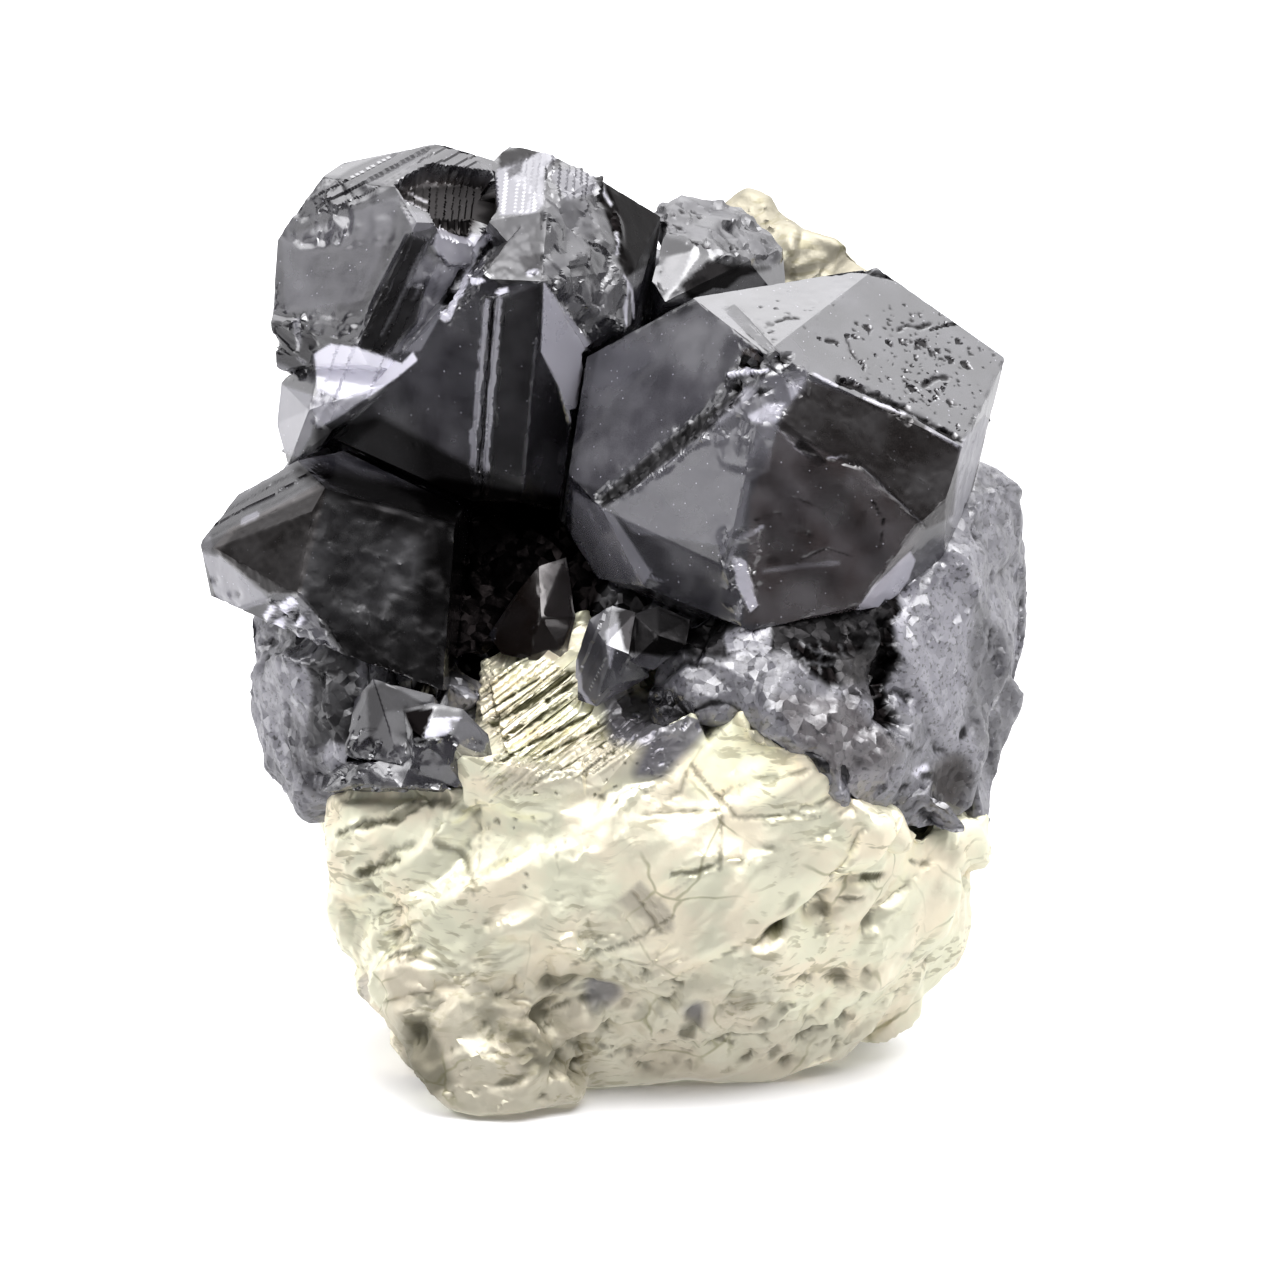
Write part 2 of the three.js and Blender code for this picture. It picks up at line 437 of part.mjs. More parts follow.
// Fills each lattice square whose inside corners meet only across its diagonal, because such a square
// would leave an edge that four faces share
function joinCorners(values, cells, size, index, plus) {
  for (let joined = true; joined;) {
    joined = false;
    for (const c of cells)
      for (const axis of [0, 1, 2]) {
        const [across, up] = [(axis + 1) % 3, (axis + 2) % 3];
        if (c[across] + 1 >= size[across] || c[up] + 1 >= size[up]) continue;
        const square = [c, plus(c, across), plus(plus(c, across), up), plus(c, up)].map(index);
        const inside = square.map((n) => values[n] < 0);
        if (inside[0] !== inside[2] || inside[1] !== inside[3] || inside[0] === inside[1]) continue;
        const open = square.filter((n) => values[n] >= 0).sort((m, n) => values[m] - values[n]);
        values[open[0]] = -justInside;
        joined = true;
      }
  }
}

// Skins a mass: one corner in each lattice cell that its surface passes through, one face for each crossing
function skin(mass, outset = 0) {
  const size = extent.high.map((high, axis) => Math.ceil((high - extent.low[axis]) / latticeStep) + 1);
  const spot = (c) => new THREE.Vector3(...c.map((n, axis) => extent.low[axis] + n * latticeStep));
  const index = ([i, j, k]) => (i * size[1] + j) * size[2] + k;
  const plus = (c, axis, by = 1) => c.map((n, other) => (other === axis ? n + by : n));
  const values = new Float64Array(size[0] * size[1] * size[2]);
  const cells = [];
  for (let i = 0; i < size[0]; i++)
    for (let j = 0; j < size[1]; j++)
      for (let k = 0; k < size[2]; k++) cells.push([i, j, k]);
  for (const c of cells) values[index(c)] = mass(spot(c)) - outset;
  joinCorners(values, cells, size, index, plus);
  const cellFaces = new Map();
  const faces = [];
  for (const c of cells)
    for (const axis of [0, 1, 2]) {
      const next = plus(c, axis);
      if (next[axis] >= size[axis]) continue;
      const [from, to] = [values[index(c)], values[index(next)]];
      if (from < 0 === to < 0) continue;
      const at = spot(c).lerp(spot(next), from / (from - to));
      const crossing = { at, out: wayOut(mass, at) };
      const [across, up] = [(axis + 1) % 3, (axis + 2) % 3];
      const around = [c, plus(c, across, -1), plus(plus(c, across, -1), up, -1), plus(c, up, -1)].map(index);
      for (const cell of around) cellFaces.set(cell, [...(cellFaces.get(cell) ?? []), crossing]);
      faces.push(from < 0 ? around : around.reverse());
    }
  const number = new Map([...cellFaces.keys()].map((cell, n) => [cell, n]));
  const places = [...cellFaces.values()].map(sharpest);
  const triangles = faces.flatMap((four) => {
    const [a, b, c, d] = four.map((cell) => number.get(cell));
    const shortWay = places[a].distanceTo(places[c]) < places[b].distanceTo(places[d]);
    return shortWay ? [a, b, c, a, c, d] : [a, b, d, b, c, d];
  });
  return manifoldOf(places.flatMap((p) => p.toArray()), triangles);
}

// A fracture step: a low five-sided plate with sloping sides, long along the grain
function chip(at, normal, along, length, random) {
  const across = new THREE.Vector3().crossVectors(normal, along).normalize();
  const run = new THREE.Vector3().crossVectors(across, normal).normalize();
  const sides = 5;
  const points = [];
  for (const [level, size] of [[-1, 1], [1, chipTop]])
    for (let i = 0; i < sides; i++) {
      const turn = ((i + 0.6 * random()) / sides) * Math.PI * 2;
      points.push(at.clone()
        .addScaledVector(run, Math.cos(turn) * length * 0.5 * size)
        .addScaledVector(across, Math.sin(turn) * length * 0.5 * size * chipWidth)
        .addScaledVector(normal, level * length * chipDepth * (0.6 + 0.7 * random())));
    }
  return points;
}

// Spreads fracture steps over a solid's surface wherever allowed says so
function scatter(solid, count, sizes, along, allowed, seed) {
  const random = seeded(seed);
  const mesh = solid.getMesh();
  const at = (i) => new THREE.Vector3().fromArray(mesh.vertProperties, mesh.triVerts[i] * mesh.numProp);
  const faces = [];
  let area = 0;
  for (let i = 0; i < mesh.triVerts.length; i += 3) {
    const triangle = new THREE.Triangle(at(i), at(i + 1), at(i + 2));
    area += triangle.getArea();
    faces.push({ triangle, upTo: area });
  }
  const found = [];
  while (found.length < count) {
    const pick = random() * area;
    const { triangle } = faces.find((f) => f.upTo >= pick);
    const [r1, r2] = [Math.sqrt(random()), random()];
    const point = triangle.a.clone().multiplyScalar(1 - r1)
      .addScaledVector(triangle.b, r1 * (1 - r2)).addScaledVector(triangle.c, r1 * r2);
    if (!allowed(point)) continue;
    const normal = triangle.getNormal(new THREE.Vector3());
    found.push(chip(point, normal, along, sizes[0] + (sizes[1] - sizes[0]) * random() ** 2, random));
  }
  return found;
}

const tilt = THREE.MathUtils.degToRad(lookDown);
const aboveCut = (point) => (point.y - baseHeight) * Math.cos(tilt) + point.z * Math.sin(tilt);
const cutNormal = [0, Math.cos(tilt), Math.sin(tilt)];
const cutFlat = (solid) => solid.trimByPlane(cutNormal, baseHeight * Math.cos(tilt));

const pyriteGrain = new THREE.Vector3(0.8, 0.6, 0.1).normalize();
const crustGrain = new THREE.Vector3(0.5, -0.8, 0.2).normalize();
const high = (p) => aboveCut(p) > 2 && p.y < topOfSteps && p.x < rightOfSteps;
const pyriteBody = union(pyriteBlocks.map(block));
const pyriteSteps = scatter(pyriteBody, 40, [3.5, 9], pyriteGrain, high, 11);
const pyriteNotches = scatter(pyriteBody, 34, [3.5, 8], pyriteGrain, high, 23);
const crustBody = union(crustBlocks.map(block));
const crustSteps = scatter(crustBody, 30, [3, 7], crustGrain, high, 5);
const crustNotches = scatter(crustBody, 26, [3, 6], crustGrain, high, 37);

// Each crystal is cut back from those named before it
const crystalSeats = [];
const crystalSolids = {};
for (const [name, blocks] of Object.entries(crystals)) {
  crystalSolids[name] = largest(without(union(blocks.map(block)), crystalSeats));
  crystalSeats.push(...blocks.map(seat));
}
crystalSolids.large_crystal = crystalSolids.large_crystal.subtract(block(growthPit));

const pyriteMass = massOf([...pyriteBlocks, ...pyriteSteps], pyriteNotches);
const crustMass = massOf([...crustBlocks, ...crustSteps], crustNotches);
const pyrite = largest(cutFlat(without(union([skin(pyriteMass), ...striations.map(block)]), crystalSeats)));
const crust = largest(cutFlat(without(skin(crustMass),
  [skin(pyriteMass, seamRoom), ...striations.map(seat), ...crystalSeats])));

const root = new THREE.Group();
const upright = new THREE.Group();
upright.rotation.x = THREE.MathUtils.degToRad(90 - lookDown);
root.add(upright);

function place(name, solid, look) {
  const mesh = solid.getMesh();
  const geometry = new THREE.BufferGeometry();
  geometry.setAttribute('position', new THREE.BufferAttribute(mesh.vertProperties, 3));
  geometry.setIndex(new THREE.BufferAttribute(mesh.triVerts, 1));
  geometry.computeVertexNormals();
  const piece = new THREE.Mesh(geometry, look);
  piece.name = name;
  upright.add(piece);
}

const sphaleriteLook = new THREE.MeshStandardMaterial({ color: 0x2a282b, roughness: 0.2, metalness: 0.1 });
const pyriteLook = new THREE.MeshStandardMaterial({ color: 0xe6dcb8, roughness: 0.35, metalness: 1 });

for (const [name, solid] of Object.entries(crystalSolids)) place(name, solid, sphaleriteLook);
place('pyrite_matrix', pyrite, pyriteLook);
place('massive_sphalerite', crust, sphaleriteLook);

upright.position.set(0, 0, -baseHeight * Math.cos(THREE.MathUtils.degToRad(lookDown)));

export default root;
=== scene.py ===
import json
import math

import bpy
import numpy as np
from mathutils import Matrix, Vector
from mathutils.bvhtree import BVHTree

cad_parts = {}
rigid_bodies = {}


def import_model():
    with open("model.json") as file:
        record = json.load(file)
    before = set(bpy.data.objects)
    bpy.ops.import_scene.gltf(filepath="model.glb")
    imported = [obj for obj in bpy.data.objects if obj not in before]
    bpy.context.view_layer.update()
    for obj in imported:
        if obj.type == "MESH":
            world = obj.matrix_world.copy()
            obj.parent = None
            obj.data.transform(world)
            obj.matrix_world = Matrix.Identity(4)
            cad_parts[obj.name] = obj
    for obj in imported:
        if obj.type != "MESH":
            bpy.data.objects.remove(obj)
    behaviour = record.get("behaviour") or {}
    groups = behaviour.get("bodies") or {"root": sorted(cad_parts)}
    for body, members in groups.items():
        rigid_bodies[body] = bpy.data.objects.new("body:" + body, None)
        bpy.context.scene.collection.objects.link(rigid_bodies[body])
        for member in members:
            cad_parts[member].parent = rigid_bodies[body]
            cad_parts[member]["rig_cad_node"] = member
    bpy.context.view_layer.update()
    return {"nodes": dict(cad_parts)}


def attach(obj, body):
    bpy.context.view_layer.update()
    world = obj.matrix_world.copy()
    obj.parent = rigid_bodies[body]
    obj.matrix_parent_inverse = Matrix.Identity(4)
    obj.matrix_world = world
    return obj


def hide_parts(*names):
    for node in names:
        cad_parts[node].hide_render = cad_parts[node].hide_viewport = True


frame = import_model()
print("frame loaded:", len(frame["nodes"]), "solids")

# Marks are placed as they are sighted from the front: units of a 1280 wide view, 23 to the millimetre,
# x to the right and y down, with the middle of the specimen at 640, 640.
sight = {"distance": 330.0, "fall": 12.0, "middle": 18.585, "perMillimetre": 23.0, "centre": 640.0}
metre = 1000.0  # millimetres in a metre
fall = math.radians(sight["fall"])
towardAxis = np.array([0.0, -math.cos(fall), math.sin(fall)])
upAxis = np.array([0.0, math.sin(fall), math.cos(fall)])
middle = np.array([0.0, 0.0, sight["middle"]])
eye = middle + towardAxis * sight["distance"]


def sighted(points):
    away = points - middle
    toward = away @ towardAxis
    scale = sight["perMillimetre"] * sight["distance"] / (sight["distance"] - toward)
    return np.stack([sight["centre"] + away[:, 0] * scale, sight["centre"] - (away @ upAxis) * scale], 1)


# Nodes, with their settings and with values or links put into their sockets by name or number
def feed(tree, socket, given):
    if hasattr(given, "links"):
        tree.links.new(given, socket)
    else:
        socket.default_value = given


def addNode(tree, kind, inputs=None, **settings):
    node = tree.nodes.new("ShaderNode" + kind)
    for name, value in settings.items():
        setattr(node, name, value)
    for name, given in (inputs or {}).items():
        feed(tree, node.inputs[name], given)
    return node


def mixColour(tree, factor, a, b):
    return addNode(tree, "Mix", {0: factor, 6: a, 7: b}, data_type="RGBA").outputs[2]


def mapValue(tree, source, low, high, toLow, toHigh, ease="LINEAR"):
    inputs = {"Value": source, "From Min": low, "From Max": high, "To Min": toLow, "To Max": toHigh}
    return addNode(tree, "MapRange", inputs, interpolation_type=ease).outputs["Result"]


def doValue(tree, operation, a, b=0.0):
    return addNode(tree, "Math", {0: a, 1: b}, operation=operation).outputs["Value"]


def doVector(tree, operation, a, b):
    return addNode(tree, "VectorMath", {0: a, 1: b}, operation=operation).outputs[0]


# Camera, floor and light
studio = {
    "lens": 213.5,
    "floorSize": 6.0,
    "floorColour": (0.93, 0.93, 0.94, 1),
    "above": 2.1,  # brightness of the roof of the light tent
    "back": 1.36,
    "side": 0.70,
    "below": 0.85,
    "sideToBack": (95.0, 130.0),  # degrees of turn over which the side gives way to the back
    "roofFrom": (22.0, 46.0),  # degrees of tilt
    "groundFrom": (-38.0, -22.0),
    "tint": (0.985, 0.98, 1.0, 1),
    "opening": {"left": -104.0, "right": 57.0, "low": -37.0, "high": 28.0, "soft": 11.0, "keeps": 0.10},
    # soft boxes: turn from the camera to the right, tilt above the horizon, half width, softness, brightness
    "boxes": [
        (-62.0, 10.0, 12.0, 7.0, 1.05),
        (-80.0, 44.0, 10.0, 12.0, 1.9),
        (172.0, 52.0, 12.0, 16.0, 1.0),
        (-116.0, -16.0, 9.0, 12.0, 1.1),
        (25.0, 62.0, 14.0, 12.0, 5.6),
    ],
}


def makeStudio():
    camera = bpy.data.objects.new("camera", bpy.data.cameras.new("camera"))
    bpy.context.scene.collection.objects.link(camera)
    camera.location = Vector(eye / metre)
    camera.rotation_euler = Vector(towardAxis).to_track_quat("Z", "Y").to_euler()
    camera.data.sensor_width = 36
    camera.data.lens = studio["lens"]
    camera.data.clip_start = 0.01
    camera.data.clip_end = 50
    bpy.context.scene.camera = camera
    bpy.context.scene.view_settings.view_transform = "Standard"

    bpy.ops.object.select_all(action="DESELECT")
    bpy.ops.mesh.primitive_plane_add(size=studio["floorSize"], location=(0, 0, 0))
    floor = bpy.context.active_object
    floor.name = "floor"
    floor.visible_glossy = False
    look = bpy.data.materials.new("floorCard")
    look.use_nodes = True
    shader = look.node_tree.nodes["Principled BSDF"]
    shader.inputs["Base Color"].default_value = studio["floorColour"]
    shader.inputs["Roughness"].default_value = 0.9
    floor.data.materials.append(look)


def makeWorld():
    world = bpy.data.worlds.new("tent")
    bpy.context.scene.world = world
    world.use_nodes = True
    tree = world.node_tree
    tree.nodes.clear()

    def times(a, b):
        return doValue(tree, "MULTIPLY", a, b)

    def ease(source, low, high, fromValue, toValue):
        return mapValue(tree, source, low, high, fromValue, toValue, "SMOOTHSTEP")

    def band(source, low, high, soft):
        return times(ease(source, low - soft / 2, low + soft / 2, 0.0, 1.0),
                     ease(source, high - soft / 2, high + soft / 2, 1.0, 0.0))

    def facing(turn, tilt):
        a, e = math.radians(turn), math.radians(tilt)
        there = (math.sin(a) * math.cos(e), -math.cos(a) * math.cos(e), math.sin(e))
        return addNode(tree, "VectorMath", {0: way, 1: there}, operation="DOT_PRODUCT").outputs["Value"]

    way = addNode(tree, "TexCoord").outputs["Generated"]
    parts = addNode(tree, "SeparateXYZ", {0: way}).outputs
    degrees = 180 / math.pi
    tilt = times(doValue(tree, "ARCSINE", parts["Z"]), degrees)
    turn = times(doValue(tree, "ARCTAN2", parts["X"], times(parts["Y"], -1.0)), degrees)
    total = ease(doValue(tree, "ABSOLUTE", turn), *studio["sideToBack"], studio["side"], studio["back"])
    roof = ease(tilt, *studio["roofFrom"], 0.0, 1.0)
    ground = ease(tilt, *studio["groundFrom"], 1.0, 0.0)
    for share, bright in ((roof, studio["above"]), (ground, studio["below"])):
        total = doValue(tree, "ADD", total, times(doValue(tree, "SUBTRACT", bright, total), share))
    hole = studio["opening"]
    dim = times(band(turn, hole["left"], hole["right"], hole["soft"]),
                band(tilt, hole["low"], hole["high"], hole["soft"]))
    total = times(total, ease(dim, 0.0, 1.0, 1.0, hole["keeps"]))
    for boxTurn, boxTilt, half, soft, bright in studio["boxes"]:
        edge, full = math.cos(math.radians(half + soft)), math.cos(math.radians(half))
        total = doValue(tree, "ADD", total, ease(facing(boxTurn, boxTilt), edge, full, 0.0, bright))

    seen = addNode(tree, "LightPath").outputs["Is Camera Ray"]
    plain = addNode(tree, "Mix", {"Factor": seen, "A": total, "B": 1.0}).outputs["Result"]
    background = addNode(tree, "Background", {"Color": studio["tint"], "Strength": plain}).outputs[0]
    addNode(tree, "OutputWorld", {"Surface": background})


makeStudio()
makeWorld()
print("studio ready")


# Random numbers that are the same for the same cell
def chance(cells, seed, count):
    mixed = ((cells[..., 0] * 73856093) ^ (cells[..., 1] * 19349663) ^ (cells[..., 2] * 83492791)
             ^ (seed * 2654435))
    mixed = mixed.astype(np.int64).astype(np.uint64) & np.uint64(0xFFFFFFFF)
    found = []
    for _ in range(count):
        mixed = ((mixed ^ (mixed >> np.uint64(15))) * np.uint64(0x2C1B3C6D)) & np.uint64(0xFFFFFFFF)
        mixed = ((mixed ^ (mixed >> np.uint64(12))) * np.uint64(0x297A2D39)) & np.uint64(0xFFFFFFFF)
        mixed = mixed ^ (mixed >> np.uint64(15))
        found.append(mixed.astype(np.float64) / 4294967296.0)
    return np.stack(found, -1)


def swell(points, pitch, seed):
    place = points / pitch
    cell = np.floor(place).astype(np.int64)
    within = place - cell
    within = within * within * (3 - 2 * within)
    total = np.zeros(len(points))
    for dx in (0, 1):
        for dy in (0, 1):
            for dz in (0, 1):
                share = (np.abs(1 - dx - within[:, 0]) * np.abs(1 - dy - within[:, 1])
                         * np.abs(1 - dz - within[:, 2]))
                total += share * chance(cell + np.array([dx, dy, dz]), seed, 1)[:, 0]
    return total * 2 - 1


# The nearest scattered centre: how far, how much further the next one is, and for both of them the way
# there and the centre's own numbers
def scattered(points, pitch, seed, grain=None, stretch=1.0):
    place = points / pitch
    if grain is not None:
        grain = np.array(grain) / np.linalg.norm(grain)
        place = place + np.outer(place @ grain, grain) * (1 / stretch - 1)
    cell = np.floor(place).astype(np.int64)
    nearest = np.full(len(points), 9.0)
    second = np.full(len(points), 9.0)
    way, nextWay = np.zeros((len(points), 3)), np.zeros((len(points), 3))
    own, nextOwn = np.zeros((len(points), 4)), np.zeros((len(points), 4))
    for dx in (-1, 0, 1):
        for dy in (-1, 0, 1):
            for dz in (-1, 0, 1):
                there = cell + np.array([dx, dy, dz])
                numbers = chance(there, seed, 7)
                offset = there + numbers[:, :3] - place
                reach = np.sqrt((offset ** 2).sum(1))
                closer = reach < nearest
                between = (reach < second) & ~closer
                second = np.where(closer, nearest, np.where(between, reach, second))
                nextWay[closer], nextOwn[closer] = way[closer], own[closer]
                nextWay[between], nextOwn[between] = offset[between], numbers[between, 3:]
                nearest = np.where(closer, reach, nearest)
                way[closer], own[closer] = offset[closer], numbers[closer, 3:]
    return nearest, second - nearest, (way, own), (nextWay, nextOwn)


def rampOf(value, low, high):
    t = np.clip((value - low) / (high - low), 0, 1)
    return t * t * (3 - 2 * t)


# Broken faces: every cell has its own slope and level, and runs into the next one over a short way
def broken(points, pitch, seed, slope, step, grain=None, stretch=1.0):
    _, gap, cell, nextCell = scattered(points, pitch, seed, grain, stretch)
    level, nextLevel = ((way * (own[:, :3] * 2 - 1)).sum(1) * slope + (own[:, 3] - 0.5) * step
                        for way, own in (cell, nextCell))
    share = 0.5 + 0.5 * rampOf(gap, 0.0, min(0.5, 0.1 + 0.26 / pitch))
    return pitch * (level * share + nextLevel * (1 - share))


# Broken faces of several sizes, each one given as pitch, seed, slope, step and stretch along the grain
def breaksOf(points, grain, breaks):
    return sum(broken(points, pitch, seed, slope, step, grain, stretch)
               for pitch, seed, slope, step, stretch in breaks)


# Distance to a line through the given places, in sighted units
def lineReach(seenAt, line):
    best = np.full(len(seenAt), 1e9)
    for a, b in zip(line[:-1], line[1:]):
        a, b = np.array(a, float), np.array(b, float)
        run = b - a
        share = np.clip(((seenAt - a) @ run) / (run @ run), 0, 1)
        best = np.minimum(best, np.linalg.norm(seenAt - a - share[:, None] * run, axis=1))
    return best


# 1 inside the outline, falling to 0 over the given margin outside it
def patchOf(seenAt, outline, margin):
    reach = lineReach(seenAt, list(outline) + [outline[0]])
    inside = np.zeros(len(seenAt), bool)
    for (x1, y1), (x2, y2) in zip(outline, list(outline[1:]) + [outline[0]]):
        if y1 == y2:
            continue
        crosses = (y1 > seenAt[:, 1]) != (y2 > seenAt[:, 1])
        inside ^= crosses & (seenAt[:, 0] < (x2 - x1) * (seenAt[:, 1] - y1) / (y2 - y1) + x1)
    return np.where(inside, 1.0, np.clip(1 - reach / margin, 0, 1))


# An oval patch: 1 in the middle, 0 from its rim outwards
def ovalOf(seenAt, x, y, long, short, turn):
    a = math.radians(turn)
    dx, dy = seenAt[:, 0] - x, seenAt[:, 1] - y
    u = (dx * math.cos(a) - dy * math.sin(a)) / long
    v = (dx * math.sin(a) + dy * math.cos(a)) / short
    return 1 - rampOf(np.sqrt(u * u + v * v), 0.45, 1.0)


def activate(piece):
    bpy.ops.object.select_all(action="DESELECT")
    piece.select_set(True)
    bpy.context.view_layer.objects.active = piece


def placesOf(piece):
    flat = np.empty(len(piece.data.vertices) * 3, np.float32)
    piece.data.vertices.foreach_get("co", flat)
    return flat.reshape(-1, 3).astype(np.float64) * metre


def setPlaces(piece, points):
    piece.data.vertices.foreach_set("co", (points / metre).astype(np.float32).ravel())
    piece.data.update()


def endsOf(piece):
    flat = np.empty(len(piece.data.edges) * 2, np.int32)
    piece.data.edges.foreach_get("vertices", flat)
    return flat.reshape(-1, 2)


def facesOf(piece):
    flat = np.empty(len(piece.data.polygons) * 3, np.int32)
    piece.data.polygons.foreach_get("vertices", flat)
    return flat.reshape(-1, 3)


def outwards(points, faces):
    a, b, c = points[faces[:, 0]], points[faces[:, 1]], points[faces[:, 2]]
    across = np.cross(b - a, c - a)
    total = np.stack([sum(np.bincount(faces[:, k], across[:, axis], len(points)) for k in range(3))
                      for axis in range(3)], 1)
    return total / np.maximum(np.linalg.norm(total, axis=1), 1e-12)[:, None]


def evened(values, ends, rounds, weight=None):
    count = np.bincount(ends[:, 0], minlength=len(values)) + np.bincount(ends[:, 1], minlength=len(values))
    flat = values.ndim == 1
    values = values[:, None] if flat else values
    for _ in range(rounds):
        around = np.stack([np.bincount(ends[:, 0], values[ends[:, 1], k], len(values))
                           + np.bincount(ends[:, 1], values[ends[:, 0], k], len(values))
                           for k in range(values.shape[1])], 1) / count[:, None]
        pull = 0.5 if weight is None else 0.5 * weight[:, None]
        values = values + (around - values) * pull
    return values[:, 0] if flat else values


# Draws in single points that stand out like needles
def unspiked(points, ends, rounds):
    for _ in range(rounds):
        length = np.linalg.norm(points[ends[:, 0]] - points[ends[:, 1]], axis=1)
        total = np.bincount(ends[:, 0], length, len(points)) + np.bincount(ends[:, 1], length, len(points))
        count = np.bincount(ends.ravel(), minlength=len(points))
        toMean = (evened(points, ends, 1) - points) * 2
        jut = np.linalg.norm(toMean, axis=1) * count / np.maximum(total, 1e-9)
        points = points + toMean * (0.8 * rampOf(jut, 0.42, 0.62))[:, None]
    return points


# Evens a rough mineral: fully where it is finely cut, a little where it is coarse
def calmed(piece, rounds, share=1.0):
    fine = rampOf(takeNumbers(piece, "shown"), 0.0, 0.5)
    return evened(placesOf(piece), endsOf(piece), rounds, (0.15 + 0.85 * fine) * share)


# A copy of a solid, with its loose triangles joined
def copyOf(node, name):
    bpy.ops.object.select_all(action="DESELECT")
    frame["nodes"][node].select_set(True)
    bpy.context.view_layer.objects.active = frame["nodes"][node]
    bpy.ops.object.duplicate()
    piece = bpy.context.active_object
    piece.name = name
    piece.data.name = name
    del piece["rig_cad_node"]
    piece.data.materials.clear()
    bpy.ops.object.mode_set(mode="EDIT")
    bpy.ops.mesh.select_all(action="SELECT")
    bpy.ops.mesh.remove_doubles(threshold=1e-6)
    bpy.ops.object.mode_set(mode="OBJECT")
    bpy.ops.mesh.customdata_custom_splitnormals_clear()
    return piece


def selectEdges(piece, chosen):
    mesh = piece.data
    ends = endsOf(piece)
    picked = np.zeros(len(mesh.vertices), bool)
    picked[ends[chosen].ravel()] = True
    mesh.polygons.foreach_set("select", np.zeros(len(mesh.polygons), bool))
    mesh.vertices.foreach_set("select", picked)
    mesh.edges.foreach_set("select", chosen)


# Cuts every edge that is longer than wanted there, until none is left
def refine(piece, wanted, rounds=9):
    activate(piece)
    bpy.context.tool_settings.mesh_select_mode = (False, True, False)
    for _ in range(rounds):
        points, ends = placesOf(piece), endsOf(piece)
        a, b = points[ends[:, 0]], points[ends[:, 1]]
        length = np.linalg.norm(a - b, axis=1)
        chosen = length > 1.35 * wanted(piece, points, ends)
        if not chosen.any():
            break
        selectEdges(piece, chosen)
        bpy.ops.object.mode_set(mode="EDIT")
        bpy.ops.mesh.subdivide(number_cuts=1)
        bpy.ops.mesh.select_all(action="SELECT")
        bpy.ops.mesh.quads_convert_to_tris(quad_method="SHORTEST_DIAGONAL", ngon_method="BEAUTY")
        bpy.ops.object.mode_set(mode="OBJECT")


# Every solid's triangles in one search tree
def solidTree(names):
    points, faces = [], []
    start = 0
    for name in names:
        node = frame["nodes"][name]
        own = placesOf(node)
        points.append(own)
        faces.append(facesOf(node) + start)
        start += len(own)
    return BVHTree.FromPolygons(np.concatenate(points).tolist(), np.concatenate(faces).tolist())


wholeTree = solidTree(sorted(frame["nodes"]))


def seenFromFront(points, out):
    shown = np.zeros(len(points))
    toEye = eye - points
    toEye /= np.linalg.norm(toEye, axis=1)[:, None]
    for i in np.nonzero((out * toEye).sum(1) > -0.05)[0]:
        start = Vector(points[i] + out[i] * 0.25 + toEye[i] * 0.15)
        shown[i] = 0.0 if wholeTree.ray_cast(start, Vector(toEye[i]))[0] else 1.0
    return shown


# 1 where another mineral covers the surface
def coveredBy(points, out, depth):
    covered = np.zeros(len(points))
    for i in range(len(points)):
        hit = wholeTree.ray_cast(Vector(points[i] + out[i] * 0.02), Vector(out[i]), depth)[0]
        covered[i] = 1.0 if hit else 0.0
    return covered


def storeNumbers(piece, name, numbers):
    layer = piece.data.attributes.new(name, "FLOAT", "POINT")
    layer.data.foreach_set("value", numbers.astype(np.float32))


def takeNumbers(piece, name):
    numbers = np.empty(len(piece.data.vertices), np.float32)
    piece.data.attributes[name].data.foreach_get("value", numbers)
    return numbers.astype(np.float64)


# Coarse first, then fine where it is seen: finest from the specimen's best side, coarsest where it
# is covered
def refineForView(piece, first, front, back, spots=()):
    def coarse(piece, points, ends):
        return np.full(len(ends), first)

    def fine(piece, points, ends):
        shown, covered = takeNumbers(piece, "shown"), takeNumbers(piece, "covered")
        size = np.where(np.maximum(shown[ends[:, 0]], shown[ends[:, 1]]) > 0.02, front, back)
        hidden = np.minimum(covered[ends[:, 0]], covered[ends[:, 1]]) > 0.98
        size = np.where(hidden & (size > front), max(first, back), size)
        at = sighted((points[ends[:, 0]] + points[ends[:, 1]]) / 2)
        for outline, finer in spots:
            size = np.where((size == front) & (patchOf(at, outline, 8) > 0), finer, size)
        return size

    refine(piece, coarse)
    points, faces = placesOf(piece), facesOf(piece)
    out = outwards(points, faces)
    storeNumbers(piece, "shown", seenFromFront(points, out))
    storeNumbers(piece, "covered", coveredBy(points, out, 0.7))
    refine(piece, fine)


# How far the neighbours are from each point, and the place just under their nearest face
def seatOf(points, tree, reach, sink):
    far = np.full(len(points), reach)
    seat = points.copy()
    for i in range(len(points)):
        place, out, _, apart = tree.find_nearest(Vector(points[i]), reach)
        if place is not None:
            far[i] = apart
            seat[i] = np.array(place) - np.array(out) * sink
    return far, seat


# Lays the relief on a rough mineral. Close to the crystals the relief fades, and the surface is drawn
# onto them where only the seat's clearance is between them.
def layRelief(skin, fade, low, high, sink=0.06):
    points = skin["points"]
    far, seat = seatOf(points, crystalTree, fade, sink)
    points = points + skin["out"] * (skin["rise"] * rampOf(far, low, fade))[:, None]
    return points + (seat - points) * (1 - rampOf(far, low, high))[:, None]


# Marks. Each one takes the surface's own numbers and changes them where it lies.
def near(skin, outline, margin):
    at = skin["at"]
    low, high = np.min(outline, 0) - margin, np.max(outline, 0) + margin
    inside = (at > low).all(1) & (at < high).all(1) & (skin["shown"] > 0)
    return np.nonzero(inside)[0]


def tone(skin, outline, margin=3, **changes):
    i = near(skin, outline, margin)
    share = patchOf(skin["at"][i], outline, margin)
    for name, target in changes.items():
        skin[name][i] += (target - skin[name][i]) * share


